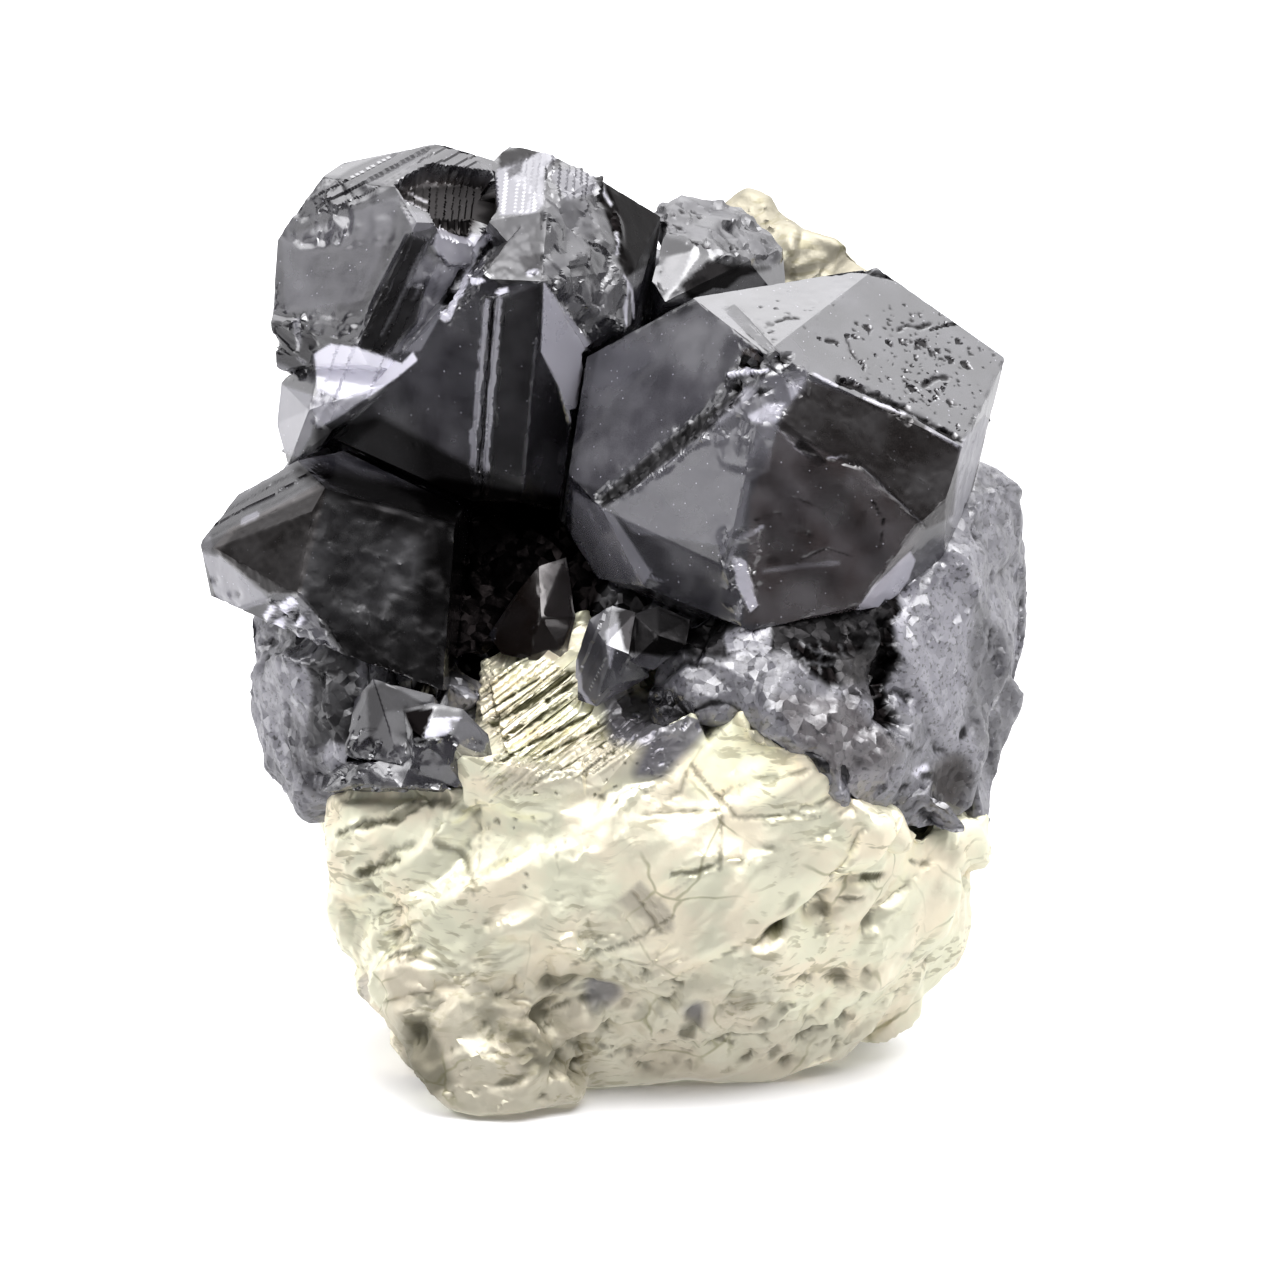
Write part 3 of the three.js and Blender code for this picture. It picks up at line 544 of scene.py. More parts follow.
# Distance to a drawn line, made uneven so that the line thins and thickens
def unevenReach(skin, i, line, width):
    uneven = 0.45 * swell(skin["points"][i], 0.5, 88) + 0.35 * swell(skin["points"][i], 0.22, 89)
    return lineReach(skin["at"][i], line) + width * uneven


def glow(skin, line, width, soft=1.2, **changes):
    i = near(skin, line, 1.8 * width + soft)
    share = np.clip(1 - (unevenReach(skin, i, line, width) - width) / soft, 0, 1)
    for name, target in changes.items():
        skin[name][i] += (target - skin[name][i]) * share


# A furrow (or with a negative depth a welt) along a line; width in sighted units, depth in millimetres
def furrow(skin, line, width, depth, dark=0.0):
    i = near(skin, line, 2 * width)
    share = np.clip(1 - unevenReach(skin, i, line, width) / width, 0, 1)
    skin["rise"][i] -= depth * share
    skin["dark"][i] = np.maximum(skin["dark"][i], dark * rampOf(share, 0.1, 0.7))


# A sunk or raised plate with a slope across it, in millimetres and millimetres per millimetre
def plate(skin, outline, rise, slope=(0.0, 0.0), margin=2):
    i = near(skin, outline, margin)
    away = (skin["at"][i] - np.mean(outline, 0)) / sight["perMillimetre"]
    skin["rise"][i] += patchOf(skin["at"][i], outline, margin) * (rise + away @ np.array(slope))


def shatter(skin, outline, pitch, slope, step, seed, margin=6, grain=None, stretch=1.0):
    i = near(skin, outline, margin)
    share = patchOf(skin["at"][i], outline, margin)
    skin["rise"][i] += share * broken(skin["points"][i], pitch, seed, slope, step, grain, stretch)


def stripes(skin, outline, turn, pitch, depth, seed, margin=4, dark=0.0):
    i = near(skin, outline, margin)
    a = math.radians(turn)
    across = (skin["at"][i] @ np.array([math.sin(a), math.cos(a)])) / sight["perMillimetre"] / pitch
    along = (skin["at"][i] @ np.array([math.cos(a), -math.sin(a)])) / sight["perMillimetre"]
    across = across + 0.25 * swell(np.stack([along * 0.3, across * 0.7, across * 0], 1), 1.0, seed)
    cell = np.floor(across).astype(np.int64)
    own = chance(np.stack([cell, cell * 0, cell * 0], 1), seed, 2)
    wave = (across - cell) * (0.5 + own[:, 0]) + own[:, 1] * 0.6
    share = patchOf(skin["at"][i], outline, margin)
    skin["rise"][i] += share * depth * (wave - 0.75)
    low = rampOf(0.42 - wave, 0.0, 0.3)
    skin["dark"][i] = np.maximum(skin["dark"][i], dark * low * share)


def pits(skin, outline, pitch, depth, share, seed, dark=0.9, margin=4):
    i = near(skin, outline, margin)
    nearest, _, (_, own), _ = scattered(skin["points"][i], pitch, seed)
    size = 0.12 + 0.32 * own[:, 1] ** 2
    ragged = nearest + 0.24 * swell(skin["points"][i], pitch * 0.3, seed + 1)
    hole = np.where(own[:, 0] < share, 1 - rampOf(ragged, size * 0.6, size), 0)
    hole *= patchOf(skin["at"][i], outline, margin)
    skin["rise"][i] -= depth * hole
    skin["dark"][i] = np.maximum(skin["dark"][i], dark * hole)


def grainy(skin, outline, pitch, depth, seed, margin=5):
    i = near(skin, outline, margin)
    share = patchOf(skin["at"][i], outline, margin)
    skin["rise"][i] += share * depth * swell(skin["points"][i], pitch, seed)


def hollow(skin, x, y, long, short, turn, depth, dark):
    reach = max(long, short)
    i = near(skin, [(x - reach, y - reach), (x + reach, y + reach)], 1)
    share = ovalOf(skin["at"][i], x, y, long, short, turn)
    share = share * (0.75 + 0.5 * swell(skin["points"][i], 0.6, 77))
    skin["rise"][i] -= depth * share
    skin["dark"][i] = np.maximum(skin["dark"][i], dark * rampOf(share, 0.2, 0.9))


# Painted shade: darkens what lies deeper than the surface around it
def shadeHollows(skin, points, most, low, high):
    sunk = ((evened(points, skin["ends"], 12) - points) * skin["out"]).sum(1)
    skin["dark"] = np.maximum(skin["dark"], most * rampOf(sunk, low, high))


def startSkin(piece, rough):
    points, faces = placesOf(piece), facesOf(piece)
    count = len(points)
    return {"points": points, "out": outwards(points, faces), "ends": endsOf(piece), "at": sighted(points),
            "shown": (takeNumbers(piece, "shown") > 0.4).astype(float), "rise": np.zeros(count),
            "rough": np.full(count, rough), "brown": np.zeros(count), "dark": np.zeros(count),
            "pale": np.zeros(count)}


# The layer holds roughness, brown, dark and pale: its dark part is partly painted shade and its pale part
# partly painted highlight.
def setFinishAndPaintedLight(piece, skin):
    colour = np.stack([skin[name] for name in ("rough", "brown", "dark", "pale")], 1).astype(np.float32)
    layer = piece.data.color_attributes.new("finishAndPaintedLight", "FLOAT_COLOR", "POINT")
    layer.data.foreach_set("color", np.clip(colour, 0, 1).ravel())


def finishPiece(piece, node, material, angle):
    activate(piece)
    bpy.ops.object.shade_smooth_by_angle(angle=math.radians(angle))
    piece.data.materials.append(material)
    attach(piece, "root")
    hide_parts(node)
    print(piece.name, "done:", len(piece.data.polygons), "triangles")


# Finishes: linear colours, and how deep the finest grain is, in metres. The sphalerite's pale colour stands
# both for its paler mineral and for painted highlights and reflections; the dark colours stand both for dark
# spots and for painted shade.
sphaleriteColours = {"black": (0.011, 0.0105, 0.0135, 1), "brown": (0.040, 0.026, 0.020, 1),
                     "pale": (0.62, 0.61, 0.69, 1), "crumbs": (0.012, 0.011, 0.014, 1),
                     "dark": (0.006, 0.005, 0.005, 1)}
pyriteColours = {"cool": (0.87, 0.86, 0.665, 1), "warm": (0.92, 0.845, 0.66, 1),
                 "brown": (0.50, 0.46, 0.37, 1),
                 "crack": (0.30, 0.29, 0.15, 1), "stroke": (0.34, 0.31, 0.19, 1),
                 "dark": (0.07, 0.065, 0.03, 1),
                 "violet": (0.175, 0.172, 0.215, 1)}
grainDepth = 0.00002


def startGroup(name, inputs, outputs):
    group = bpy.data.node_groups.new(name, "ShaderNodeTree")
    for title, usual in inputs.items():
        group.interface.new_socket(title, in_out="INPUT",
                                   socket_type="NodeSocketFloat").default_value = usual
    for title, kind in outputs.items():
        group.interface.new_socket(title, in_out="OUTPUT", socket_type="NodeSocket" + kind)
    return group, group.nodes.new("NodeGroupInput").outputs, group.nodes.new("NodeGroupOutput").inputs


def makeGrain():
    usual = {"Fine Scale": 2400.0, "Coarse Scale": 500.0, "Relief": 0.3, "Flake Scale": 1500.0,
             "Flake Relief": 0.0}
    group, given, put = startGroup("mineralGrain", usual, {"Fine": "Float", "Coarse": "Float",
                                                           "Specks": "Float",
                                                           "Normal": "Vector"})
    place = addNode(group, "TexCoord").outputs["Object"]
    fine = addNode(group, "TexNoise", {"Vector": place, "Scale": given["Fine Scale"], "Detail": 3})
    coarse = addNode(group, "TexNoise", {"Vector": place, "Scale": given["Coarse Scale"], "Detail": 4})
    # flakes: each cell leans its own way
    cells = addNode(group, "TexVoronoi", {"Vector": place, "Scale": given["Flake Scale"]}).outputs
    away = doVector(group, "SUBTRACT", place, cells["Position"])
    lean = doVector(group, "SUBTRACT", cells["Color"], (0.5, 0.5, 0.5))
    height = addNode(group, "VectorMath", {0: away, 1: lean}, operation="DOT_PRODUCT").outputs["Value"]
    flakes = addNode(group, "Bump", {"Distance": 1.0, "Strength": given["Flake Relief"], "Height": height})
    bump = addNode(group, "Bump", {"Distance": grainDepth, "Strength": given["Relief"],
                                   "Height": fine.outputs["Fac"], "Normal": flakes.outputs["Normal"]})
    # specks: a dot in some cells, painted on the sphalerite as tiny glints
    dots = addNode(group, "TexVoronoi", {"Vector": place, "Scale": given["Fine Scale"]}).outputs
    own = addNode(group, "SeparateColor", {0: dots["Color"]}).outputs[0]
    dot = mapValue(group, dots["Distance"], 0.08, 0.15, 1.0, 0.0)
    some = mapValue(group, own, 0.74, 0.80, 0.0, 1.0)
    for title, source in (("Specks", doValue(group, "MULTIPLY", dot, some)), ("Fine", fine.outputs["Fac"]),
                          ("Coarse", coarse.outputs["Fac"]), ("Normal", bump.outputs["Normal"])):
        feed(group, put[title], source)
    return group


mineralGrain = makeGrain()


def startMaterial(name, fineScale, coarseScale, relief, flakeScale, flakeRelief):
    material = bpy.data.materials.new(name)
    material.use_nodes = True
    tree = material.node_tree
    shader = tree.nodes["Principled BSDF"].inputs
    grain = addNode(tree, "Group", node_tree=mineralGrain)
    for title, value in (("Fine Scale", fineScale), ("Coarse Scale", coarseScale), ("Relief", relief),
                         ("Flake Scale", flakeScale), ("Flake Relief", flakeRelief)):
        grain.inputs[title].default_value = value
    feed(tree, shader["Normal"], grain.outputs["Normal"])
    finishAndPaintedLight = addNode(tree, "Attribute", attribute_name="finishAndPaintedLight").outputs
    parts = addNode(tree, "SeparateColor", {0: finishAndPaintedLight["Color"]}).outputs
    masks = {"rough": parts[0], "brown": parts[1], "dark": parts[2], "pale": finishAndPaintedLight["Alpha"]}
    return material, tree, shader, grain.outputs, masks


def setRoughness(tree, shader, coarse, rough, low, high):
    wander = mapValue(tree, coarse, 0.3, 0.7, low, high)
    feed(tree, shader["Roughness"], doValue(tree, "ADD", rough, wander))


def makeSphalerite(name, fineScale, coarseScale, relief, flakeScale, flakeRelief, crumbs=0.0):
    material, tree, shader, grain, masks = startMaterial(name, fineScale, coarseScale, relief, flakeScale,
                                                         flakeRelief)
    colour = mixColour(tree, masks["brown"], sphaleriteColours["black"], sphaleriteColours["brown"])
    clouds = mapValue(tree, grain["Coarse"], 0.40, 0.66, 0.0, 0.045)
    # specks: pale dots in some cells, painted tiny glints; the pale mask mixes in the paler mineral and
    # painted highlights
    specks = doValue(tree, "MULTIPLY", grain["Specks"], 0.5)
    for share in (doValue(tree, "MAXIMUM", clouds, specks), doValue(tree, "POWER", masks["pale"], 2.0)):
        colour = mixColour(tree, share, colour, sphaleriteColours["pale"])
    if crumbs:
        crumb = mapValue(tree, grain["Fine"], 0.36, 0.43, crumbs, 0.0)
        colour = mixColour(tree, crumb, colour, sphaleriteColours["crumbs"])
    # the dark mask makes the base near black and metallic so it hardly reflects: dark spots, and painted
    # shade in pits, cracks, hollows and shaded places
    feed(tree, shader["Base Color"], mixColour(tree, masks["dark"], colour, sphaleriteColours["dark"]))
    feed(tree, shader["Metallic"], masks["dark"])
    setRoughness(tree, shader, grain["Coarse"], masks["rough"], -0.08, 0.14)
    shader["IOR"].default_value = 2.37
    return material


# Thin cracks and short strokes, in patches
def makeCracks():
    group, _, put = startGroup("pyriteCracks", {}, {"Cracks": "Float", "Strokes": "Float"})
    place = addNode(group, "TexCoord").outputs["Object"]
    wobble = addNode(group, "TexNoise", {"Vector": place, "Scale": 420.0}).outputs["Color"]
    moved = addNode(group, "VectorMath", {0: wobble, 1: (0.0016, 0.0016, 0.0016), 2: place},
                    operation="MULTIPLY_ADD").outputs[0]
    cells = addNode(group, "TexVoronoi", {"Vector": moved, "Scale": 300.0}, feature="DISTANCE_TO_EDGE")
    patches = addNode(group, "TexNoise", {"Vector": place, "Scale": 260.0}).outputs["Fac"]
    line = mapValue(group, cells.outputs["Distance"], 0.006, 0.026, 1.0, 0.0)
    turned = addNode(group, "Mapping", {"Vector": moved, "Rotation": (0.0, math.radians(35), 0.0),
                                        "Scale": (900.0, 1800.0, 3600.0)}).outputs[0]
    strokes = addNode(group, "TexNoise", {"Vector": turned, "Scale": 1.0, "Detail": 2}).outputs["Fac"]
    stroke = mapValue(group, strokes, 0.53, 0.61, 0.0, 1.0)
    for title, mark, where in (("Cracks", line, mapValue(group, patches, 0.50, 0.62, 0.0, 1.0)),
                               ("Strokes", stroke, mapValue(group, patches, 0.40, 0.52, 1.0, 0.0))):
        feed(group, put[title], doValue(group, "MULTIPLY", mark, where))
    return group


def makePyrite():
    material, tree, shader, grain, masks = startMaterial("pyriteBrass", 4200.0, 420.0, 0.5, 650.0, 0.16)
    cracks = addNode(tree, "Group", node_tree=makeCracks()).outputs
    colour = mixColour(tree, mapValue(tree, grain["Coarse"], 0.42, 0.60, 0.0, 1.0), pyriteColours["cool"],
                       pyriteColours["warm"])
    for share, name in ((masks["brown"], "brown"), (doValue(tree, "MULTIPLY", cracks["Cracks"], 0.55),
                                                    "crack"),
                        (doValue(tree, "MULTIPLY", cracks["Strokes"], 0.55), "stroke"),
                        (masks["dark"], "dark"),
                        (masks["pale"], "violet")):
        colour = mixColour(tree, share, colour, pyriteColours[name])
    # the dark mask holds dark spots and also painted shade in hollows and under ledges
    feed(tree, shader["Base Color"], colour)
    setRoughness(tree, shader, grain["Coarse"], masks["rough"], -0.08, 0.10)
    shader["Metallic"].default_value = 0.68
    return material


crystalFinish = makeSphalerite("sphaleriteCrystal", 4200.0, 520.0, 0.13, 900.0, 0.02)
crustFinish = makeSphalerite("sphaleriteMassive", 5600.0, 900.0, 0.8, 2300.0, 0.75, 0.85)
pyriteFinish = makePyrite()
print("finishes ready")

crystalNames = ["large_crystal", "twinned_crystals", "left_crystal", "upper_crystal", "lower_left_crystals",
                "centre_crystals", "cleft_crystals"]
crystalTree = solidTree(crystalNames)


# Crystals: flat bright faces, each with its own polish, worn at the edges
def makeCrystal(node, look, marks):
    piece = copyOf(node, node + "_faces")
    refineForView(piece, look["first"], look["front"], look["back"])
    skin = startSkin(piece, look["rough"])
    points, peel = skin["points"], look["orangePeel"]
    skin["rise"] += peel * swell(points, 1.4, 3) + 0.4 * peel * swell(points, 0.45, 5)
    edge = 1 - np.linalg.norm(evened(skin["out"], skin["ends"], 3), axis=1)
    worn = rampOf(edge, 0.004, 0.05) * rampOf(swell(points, 0.5, 9), -0.2, 0.6)
    skin["rise"] -= look["chips"] * worn
    skin["rough"] += 0.10 * swell(points, 2.2, 12) + 0.3 * worn
    marks(skin)
    setPlaces(piece, points + skin["out"] * skin["rise"][:, None])
    setFinishAndPaintedLight(piece, skin)
    finishPiece(piece, node, crystalFinish, 22)


largeCrystal = {"first": 1.2, "front": 0.125, "back": 0.9, "rough": 0.17, "orangePeel": 0.006, "chips": 0.05}


def markLarge(skin):
    brownFace = [(806, 382), (835, 392), (905, 416), (958, 450), (952, 515), (924, 528), (862, 468),
                 (780, 428)]
    tone(skin, brownFace, 3, brown=0.5, rough=0.26, dark=0.58)
    grainy(skin, brownFace, 0.22, 0.010, 51)
    # pits over the upper right face
    pits(skin, [(848, 318), (900, 292), (994, 356), (972, 440), (905, 425), (850, 385)], 0.7, 0.07, 0.35, 61)
    pits(skin, [(892, 318), (948, 314), (954, 396), (900, 402)], 0.5, 0.09, 0.75, 62)
    pits(skin, [(812, 332), (860, 326), (905, 420), (846, 385)], 0.5, 0.08, 0.55, 63)
    pits(skin, [(905, 372), (950, 366), (952, 396), (912, 400)], 0.4, 0.10, 0.8, 60)
    pits(skin, [(848, 318), (900, 292), (994, 356), (972, 440), (905, 425), (850, 385)], 0.3, 0.03, 0.4, 160,
         0.85)
    pits(skin, [(876, 322), (955, 318), (962, 415), (900, 402)], 0.26, 0.03, 0.6, 161, 0.85)
    for line, width in (([(898, 331), (907, 325), (920, 328), (930, 324)], 3.2),
                        ([(826, 341), (838, 342)], 2.6),
                        ([(846, 338), (851, 350), (858, 362)], 2.6), ([(925, 385), (936, 378), (946, 378)],
                                                                      3.6),
                        ([(776, 322), (786, 318), (798, 318)], 2.2), ([(930, 330), (950, 324), (968, 324)],
                                                                      1.4)):
        furrow(skin, line, width, 0.07, 0.85)
    # bright top: faint pits and the dark rim at its back
    pits(skin, [(760, 305), (800, 290), (850, 290), (790, 330), (765, 345)], 0.5, 0.05, 0.35, 64, 0.6)
    pits(skin, [(752, 335), (790, 305), (850, 292), (800, 338), (768, 346)], 0.28, 0.02, 0.35, 162, 0.5)
    furrow(skin, [(820, 272), (858, 269), (894, 277)], 4, 0.15, 0.8)
    grainy(skin, [(720, 320), (780, 272), (885, 268), (870, 292), (770, 352)], 0.35, 0.012, 52)
    # rim between the upper right face and the brown front; the pale lines along its raised edge are painted
    # highlights
    furrow(skin, [(838, 379), (868, 392), (905, 408), (962, 441)], 4.5, 0.16, 0.95)
    furrow(skin, [(812, 374), (838, 388), (868, 401), (905, 415), (958, 446)], 3.0, -0.05)
    for line, pale in (([(814, 374), (836, 386)], 0.7), ([(864, 398), (884, 406), (904, 414)], 0.8),
                       ([(926, 428), (942, 437), (957, 446)], 0.5)):
        glow(skin, line, 1.4, 1.2, pale=pale, dark=0.0)
    # stepped ledge below the ridge, with its dark pit
    ledge = [(706, 425), (722, 408), (743, 392), (770, 376), (806, 370), (804, 392), (787, 406), (772, 424),
             (752, 420), (730, 430), (706, 440)]
    shatter(skin, ledge, 0.8, 0.34, 0.16, 65)
    tone(skin, ledge, 5, pale=0.30)
    tone(skin, [(750, 416), (768, 405), (784, 404), (776, 422), (760, 428)], 3, pale=0.75)
    tone(skin, [(704, 424), (724, 404), (746, 388), (754, 392), (734, 410), (712, 430)], 3, pale=0.55)
    tone(skin, [(788, 386), (803, 378), (806, 386), (792, 398)], 3, pale=0.6)
    hollow(skin, 754, 360, 16, 11, -12, 0.5, 1.0)
    tone(skin, [(744, 352), (752, 350), (752, 366), (744, 368)], 3, brown=1.0, dark=0.3)
    hollow(skin, 783, 360, 14, 7, 30, 0.25, 0.9)
    furrow(skin, [(731, 375), (750, 372), (768, 371)], 3.5, -0.18)
    # painted highlight along the raised edge
    glow(skin, [(732, 375), (750, 372), (767, 371)], 2.0, 1.2, pale=0.85, dark=0.0, rough=0.15)
    hollow(skin, 735, 387, 10, 6, 40, 0.22, 0.95)
    hollow(skin, 764, 391, 15, 6, 15, 0.22, 0.95)
    # dark broken band along the edge of the left face
    bandLine = [(733, 394), (700, 425), (660, 456), (602, 500)]
    furrow(skin, bandLine, 11, 0.16, 0.0)
    bandPart = [(735, 392), (740, 400), (700, 434), (662, 464), (620, 496), (602, 505), (600, 499),
                (650, 456)]
    tone(skin, bandPart, 3, dark=0.80, rough=0.4)
    shatter(skin, bandPart, 0.35, 0.20, 0.10, 66, 3)
    furrow(skin, [(706, 436), (668, 466), (630, 492), (606, 504)], 2.6, -0.08)
    # crack between the two dark front faces, and the streaks on the lower one
    furrow(skin, [(776, 426), (800, 452), (830, 461), (863, 467), (925, 527)], 2.2, 0.05)
    glow(skin, [(776, 426), (798, 450), (812, 458)], 1.2, 1.0, pale=0.35)
    glow(skin, [(863, 467), (895, 498), (922, 523)], 0.7, 0.8, pale=0.5)
    glow(skin, [(829, 458), (847, 456)], 1.2, 0.8, pale=0.6)
    tone(skin, [(800, 438), (826, 462), (818, 466), (796, 446)], 2, dark=0.7)
    flake = [(733, 558), (745, 560), (757, 604), (750, 611), (737, 586)]
    plate(skin, flake, 0.10, (0.25, 0.1))
    tone(skin, flake, 1.5, pale=0.62)
    glow(skin, [(744, 538), (763, 526)], 1.8, 1.2, pale=0.55)
    for line in ([(726, 566), (738, 540), (752, 532)], [(765, 571), (800, 566), (838, 563)],
                 [(741, 600), (738, 618)],
                 [(722, 552), (730, 538)]):
        glow(skin, line, 1.6, 3.0, pale=0.30)
    shatter(skin, [(722, 535), (762, 528), (768, 560), (745, 616), (728, 600)], 0.6, 0.25, 0.10, 67)
    for x, y, long, short, turn in ((835, 488, 12, 7, 20), (775, 560, 14, 7, 10), (860, 520, 16, 5, 60),
                                    (905, 490, 16, 4, 45), (800, 530, 20, 5, -20), (765, 480, 12, 6, 60)):
        hollow(skin, x, y, long, short, turn, 0.03, 0.45)
    lowFace = [(780, 430), (862, 468), (924, 530), (860, 622), (745, 622), (752, 500)]
    grainy(skin, lowFace, 0.5, 0.016, 53)
    tone(skin, lowFace, 3, brown=0.35)
    for line in ([(770, 488), (800, 500), (846, 517)], [(756, 520), (778, 512), (790, 530), (812, 536)],
                 [(800, 560), (826, 548), (850, 556)], [(872, 500), (884, 520), (880, 548)]):
        furrow(skin, line, 1.6, 0.03, 0.9)
    for line in ([(762, 470), (790, 500), (800, 540)], [(820, 500), (860, 530), (880, 560)],
                 [(770, 520), (790, 560), (830, 580)], [(810, 470), (840, 500)]):
        glow(skin, line, 4.0, 16.0, dark=0.30)
    # grey face: swirls at its top, a ragged right edge
    tone(skin, [(705, 425), (775, 425), (768, 470), (750, 480), (742, 525), (720, 545), (635, 532),
                (610, 505)],
         4, pale=0.28)
    tone(skin, [(600, 350), (722, 300), (748, 345), (700, 410), (606, 490), (574, 480)], 4, pale=0.20)
    shatter(skin, [(715, 430), (775, 425), (765, 468), (725, 465)], 0.8, 0.18, 0.08, 68)
    glow(skin, [(752, 455), (758, 440), (768, 432)], 1.0, 2.0, pale=0.35)
    # pale facet at the lower right
    facet = [(856, 612), (873, 588), (910, 552), (915, 560), (908, 580), (874, 626), (862, 630)]
    tone(skin, facet, 2, pale=0.60, rough=0.2)
    tone(skin, [(574, 492), (612, 514), (650, 572), (640, 590), (600, 582), (572, 540)], 3, pale=0.38)
    # right side, rough and paler
    side = [(962, 442), (985, 418), (994, 425), (990, 455), (968, 500), (958, 530), (948, 520), (957, 480)]
    tone(skin, side, 3, pale=0.43, rough=0.35)
    grainy(skin, side, 0.35, 0.03, 54)
    # specks
    pits(skin, [(600, 350), (720, 310), (745, 350), (700, 420), (600, 490), (575, 480)], 0.9, 0.015, 0.10,
         69, 0.0)


twinned = {"first": 1.2, "front": 0.125, "back": 0.9, "rough": 0.15, "orangePeel": 0.006, "chips": 0.05}


def markTwin(skin):
    # lamellae down the front of the wedge
    left = [(487, 300), (481, 360), (475, 430), (473, 470)]
    right = [(499, 300), (497, 330), (492, 375), (489, 410), (488, 440), (481, 497)]
    for line, width in ((left, 2.6), (right, 3.2), ([(473, 434), (473, 468), (478, 496)], 3.4)):
        glow(skin, line, width, 1.0, pale=0.50, rough=0.22)
    furrow(skin, [(493, 300), (489, 360), (483, 430), (480, 470)], 2.4, 0.12, 0.7)
    glow(skin, [(536, 340), (533, 372), (529, 420), (523, 490)], 0.9, 1.2, pale=0.35)
    furrow(skin, [(536, 340), (533, 372), (529, 420), (523, 490)], 2.0, -0.05)
    tone(skin, [(504, 300), (543, 285), (541, 352), (556, 385), (571, 440), (560, 520), (490, 500)], 3,
         dark=0.45)
    sliver = [(544, 283), (589, 342), (579, 352), (579, 376), (573, 438), (558, 386), (541, 352)]
    plate(skin, sliver, 0.12, (0.10, 0.0), 1.5)
    tone(skin, sliver, 1.5, pale=0.64, dark=0.0, rough=0.3)
    glow(skin, [(582, 372), (576, 430), (571, 470)], 3, 3, pale=0.30)
    # frosted slope and the striated pale band above it
    frosted = [(488, 222), (543, 212), (546, 279), (500, 284), (487, 268)]
    tone(skin, frosted, 2, pale=0.10, dark=0.53, rough=0.38)
    grainy(skin, frosted, 0.26, 0.035, 71)
    tone(skin, [(520, 258), (545, 254), (546, 268), (526, 270)], 3, dark=0.8)
    topBand = [(498, 168), (543, 151), (559, 154), (546, 176), (546, 203), (534, 213), (500, 215),
               (494, 190)]
    tone(skin, topBand, 2, pale=0.50, rough=0.14)
    stripes(skin, topBand, 84, 0.28, 0.06, 72)
    tone(skin, [(500, 152), (528, 145), (543, 148), (520, 163), (500, 168)], 2, dark=0.85)
    tone(skin, [(546, 168), (562, 153), (556, 176), (547, 182)], 2, dark=0.8)
    tone(skin, [(508, 170), (522, 163), (520, 172), (508, 178)], 2, dark=0.7)
    # broken right shoulder and its curved side, darkened with painted shade; the thin pale lines on that
    # side are painted highlights
    shoulder = [(547, 168), (597, 176), (618, 227), (622, 268), (626, 339), (605, 352), (590, 342),
                (545, 276)]
    shatter(skin, shoulder, 1.3, 0.28, 0.08, 73)
    shatter(skin, shoulder, 0.6, 0.12, 0.04, 74)
    tone(skin, shoulder, 4, rough=0.24, pale=0.12, dark=0.15)
    tone(skin, [(552, 172), (596, 172), (600, 190), (566, 200)], 3, pale=0.45)
    stripes(skin, [(550, 168), (600, 168), (604, 200), (556, 196)], 88, 0.3, 0.12, 75)
    curve = [(597, 177), (632, 186), (664, 214), (650, 262), (626, 276), (620, 262), (612, 227)]
    tone(skin, curve, 3, dark=1.0, pale=0.0, rough=0.25)
    for line in ([(616, 232), (618, 255)], [(623, 276), (632, 290), (634, 318)], [(628, 285), (626, 325)],
                 [(604, 190), (612, 204)]):
        glow(skin, line, 1.0, 1.2, pale=0.75, dark=0.0)
    # ridge between the frosted slope and the block, with a painted glint along it and painted glints on
    # three small bumps
    ridge = [(488, 238), (476, 244), (468, 270), (458, 292), (446, 316)]
    glow(skin, ridge, 4.0, 2.0, pale=0.85, rough=0.1)
    shatter(skin, [(484, 234), (496, 240), (486, 280), (450, 320), (440, 316), (466, 262)], 0.5, 0.35, 0.12,
            76)
    for x, y in ((479, 281), (503, 291), (532, 272)):
        hollow(skin, x, y, 8, 4, 20, -0.12, 0.0)
        glow(skin, [(x - 4, y + 2), (x + 4, y - 1)], 2.2, 1.2, pale=1.0)
    # dark re-entrant hollow in the block
    cavity = [(400, 184), (433, 168), (462, 172), (490, 176), (493, 206), (472, 240), (444, 232), (433, 209),
              (410, 197)]
    plate(skin, cavity, -0.8, (0.0, 0.0), 5)
    tone(skin, cavity, 3, dark=0.88, brown=0.8, rough=0.35)
    stripes(skin, cavity, 86, 0.32, 0.10, 77)
    for line in ([(404, 184), (432, 198)], [(416, 180), (434, 190)], [(398, 196), (432, 206)]):
        glow(skin, line, 0.8, 1.0, pale=0.55, dark=0.0)
    tone(skin, [(403, 209), (424, 214), (434, 227), (414, 232)], 2, pale=0.32)
    bright = [(436, 234), (448, 231), (472, 242), (470, 263), (449, 265), (433, 247)]
    plate(skin, bright, 0.1, (0.0, 0.1), 2)
    tone(skin, bright, 2, pale=0.62, dark=0.0)
    # stepped dark stripes down the block's right side
    striae = [(409, 236), (425, 242), (414, 272), (404, 288), (423, 290), (414, 322), (384, 352), (360, 348),
              (376, 300)]
    tone(skin, striae, 3, dark=0.60, pale=0.0, rough=0.3)
    stripes(skin, striae, 64, 0.45, 0.16, 78)
    for line in ([(424, 246), (400, 300), (382, 335)], [(432, 262), (412, 300)], [(444, 262), (432, 300)]):
        glow(skin, line, 0.7, 1.4, pale=0.30, dark=0.2)
    strip = [(438, 264), (470, 264), (444, 308), (420, 350), (394, 352), (414, 328), (424, 294)]
    tone(skin, strip, 3, pale=0.38)
    furrow(skin, [(464, 270), (450, 296), (444, 308)], 4.5, 0.25, 0.95)
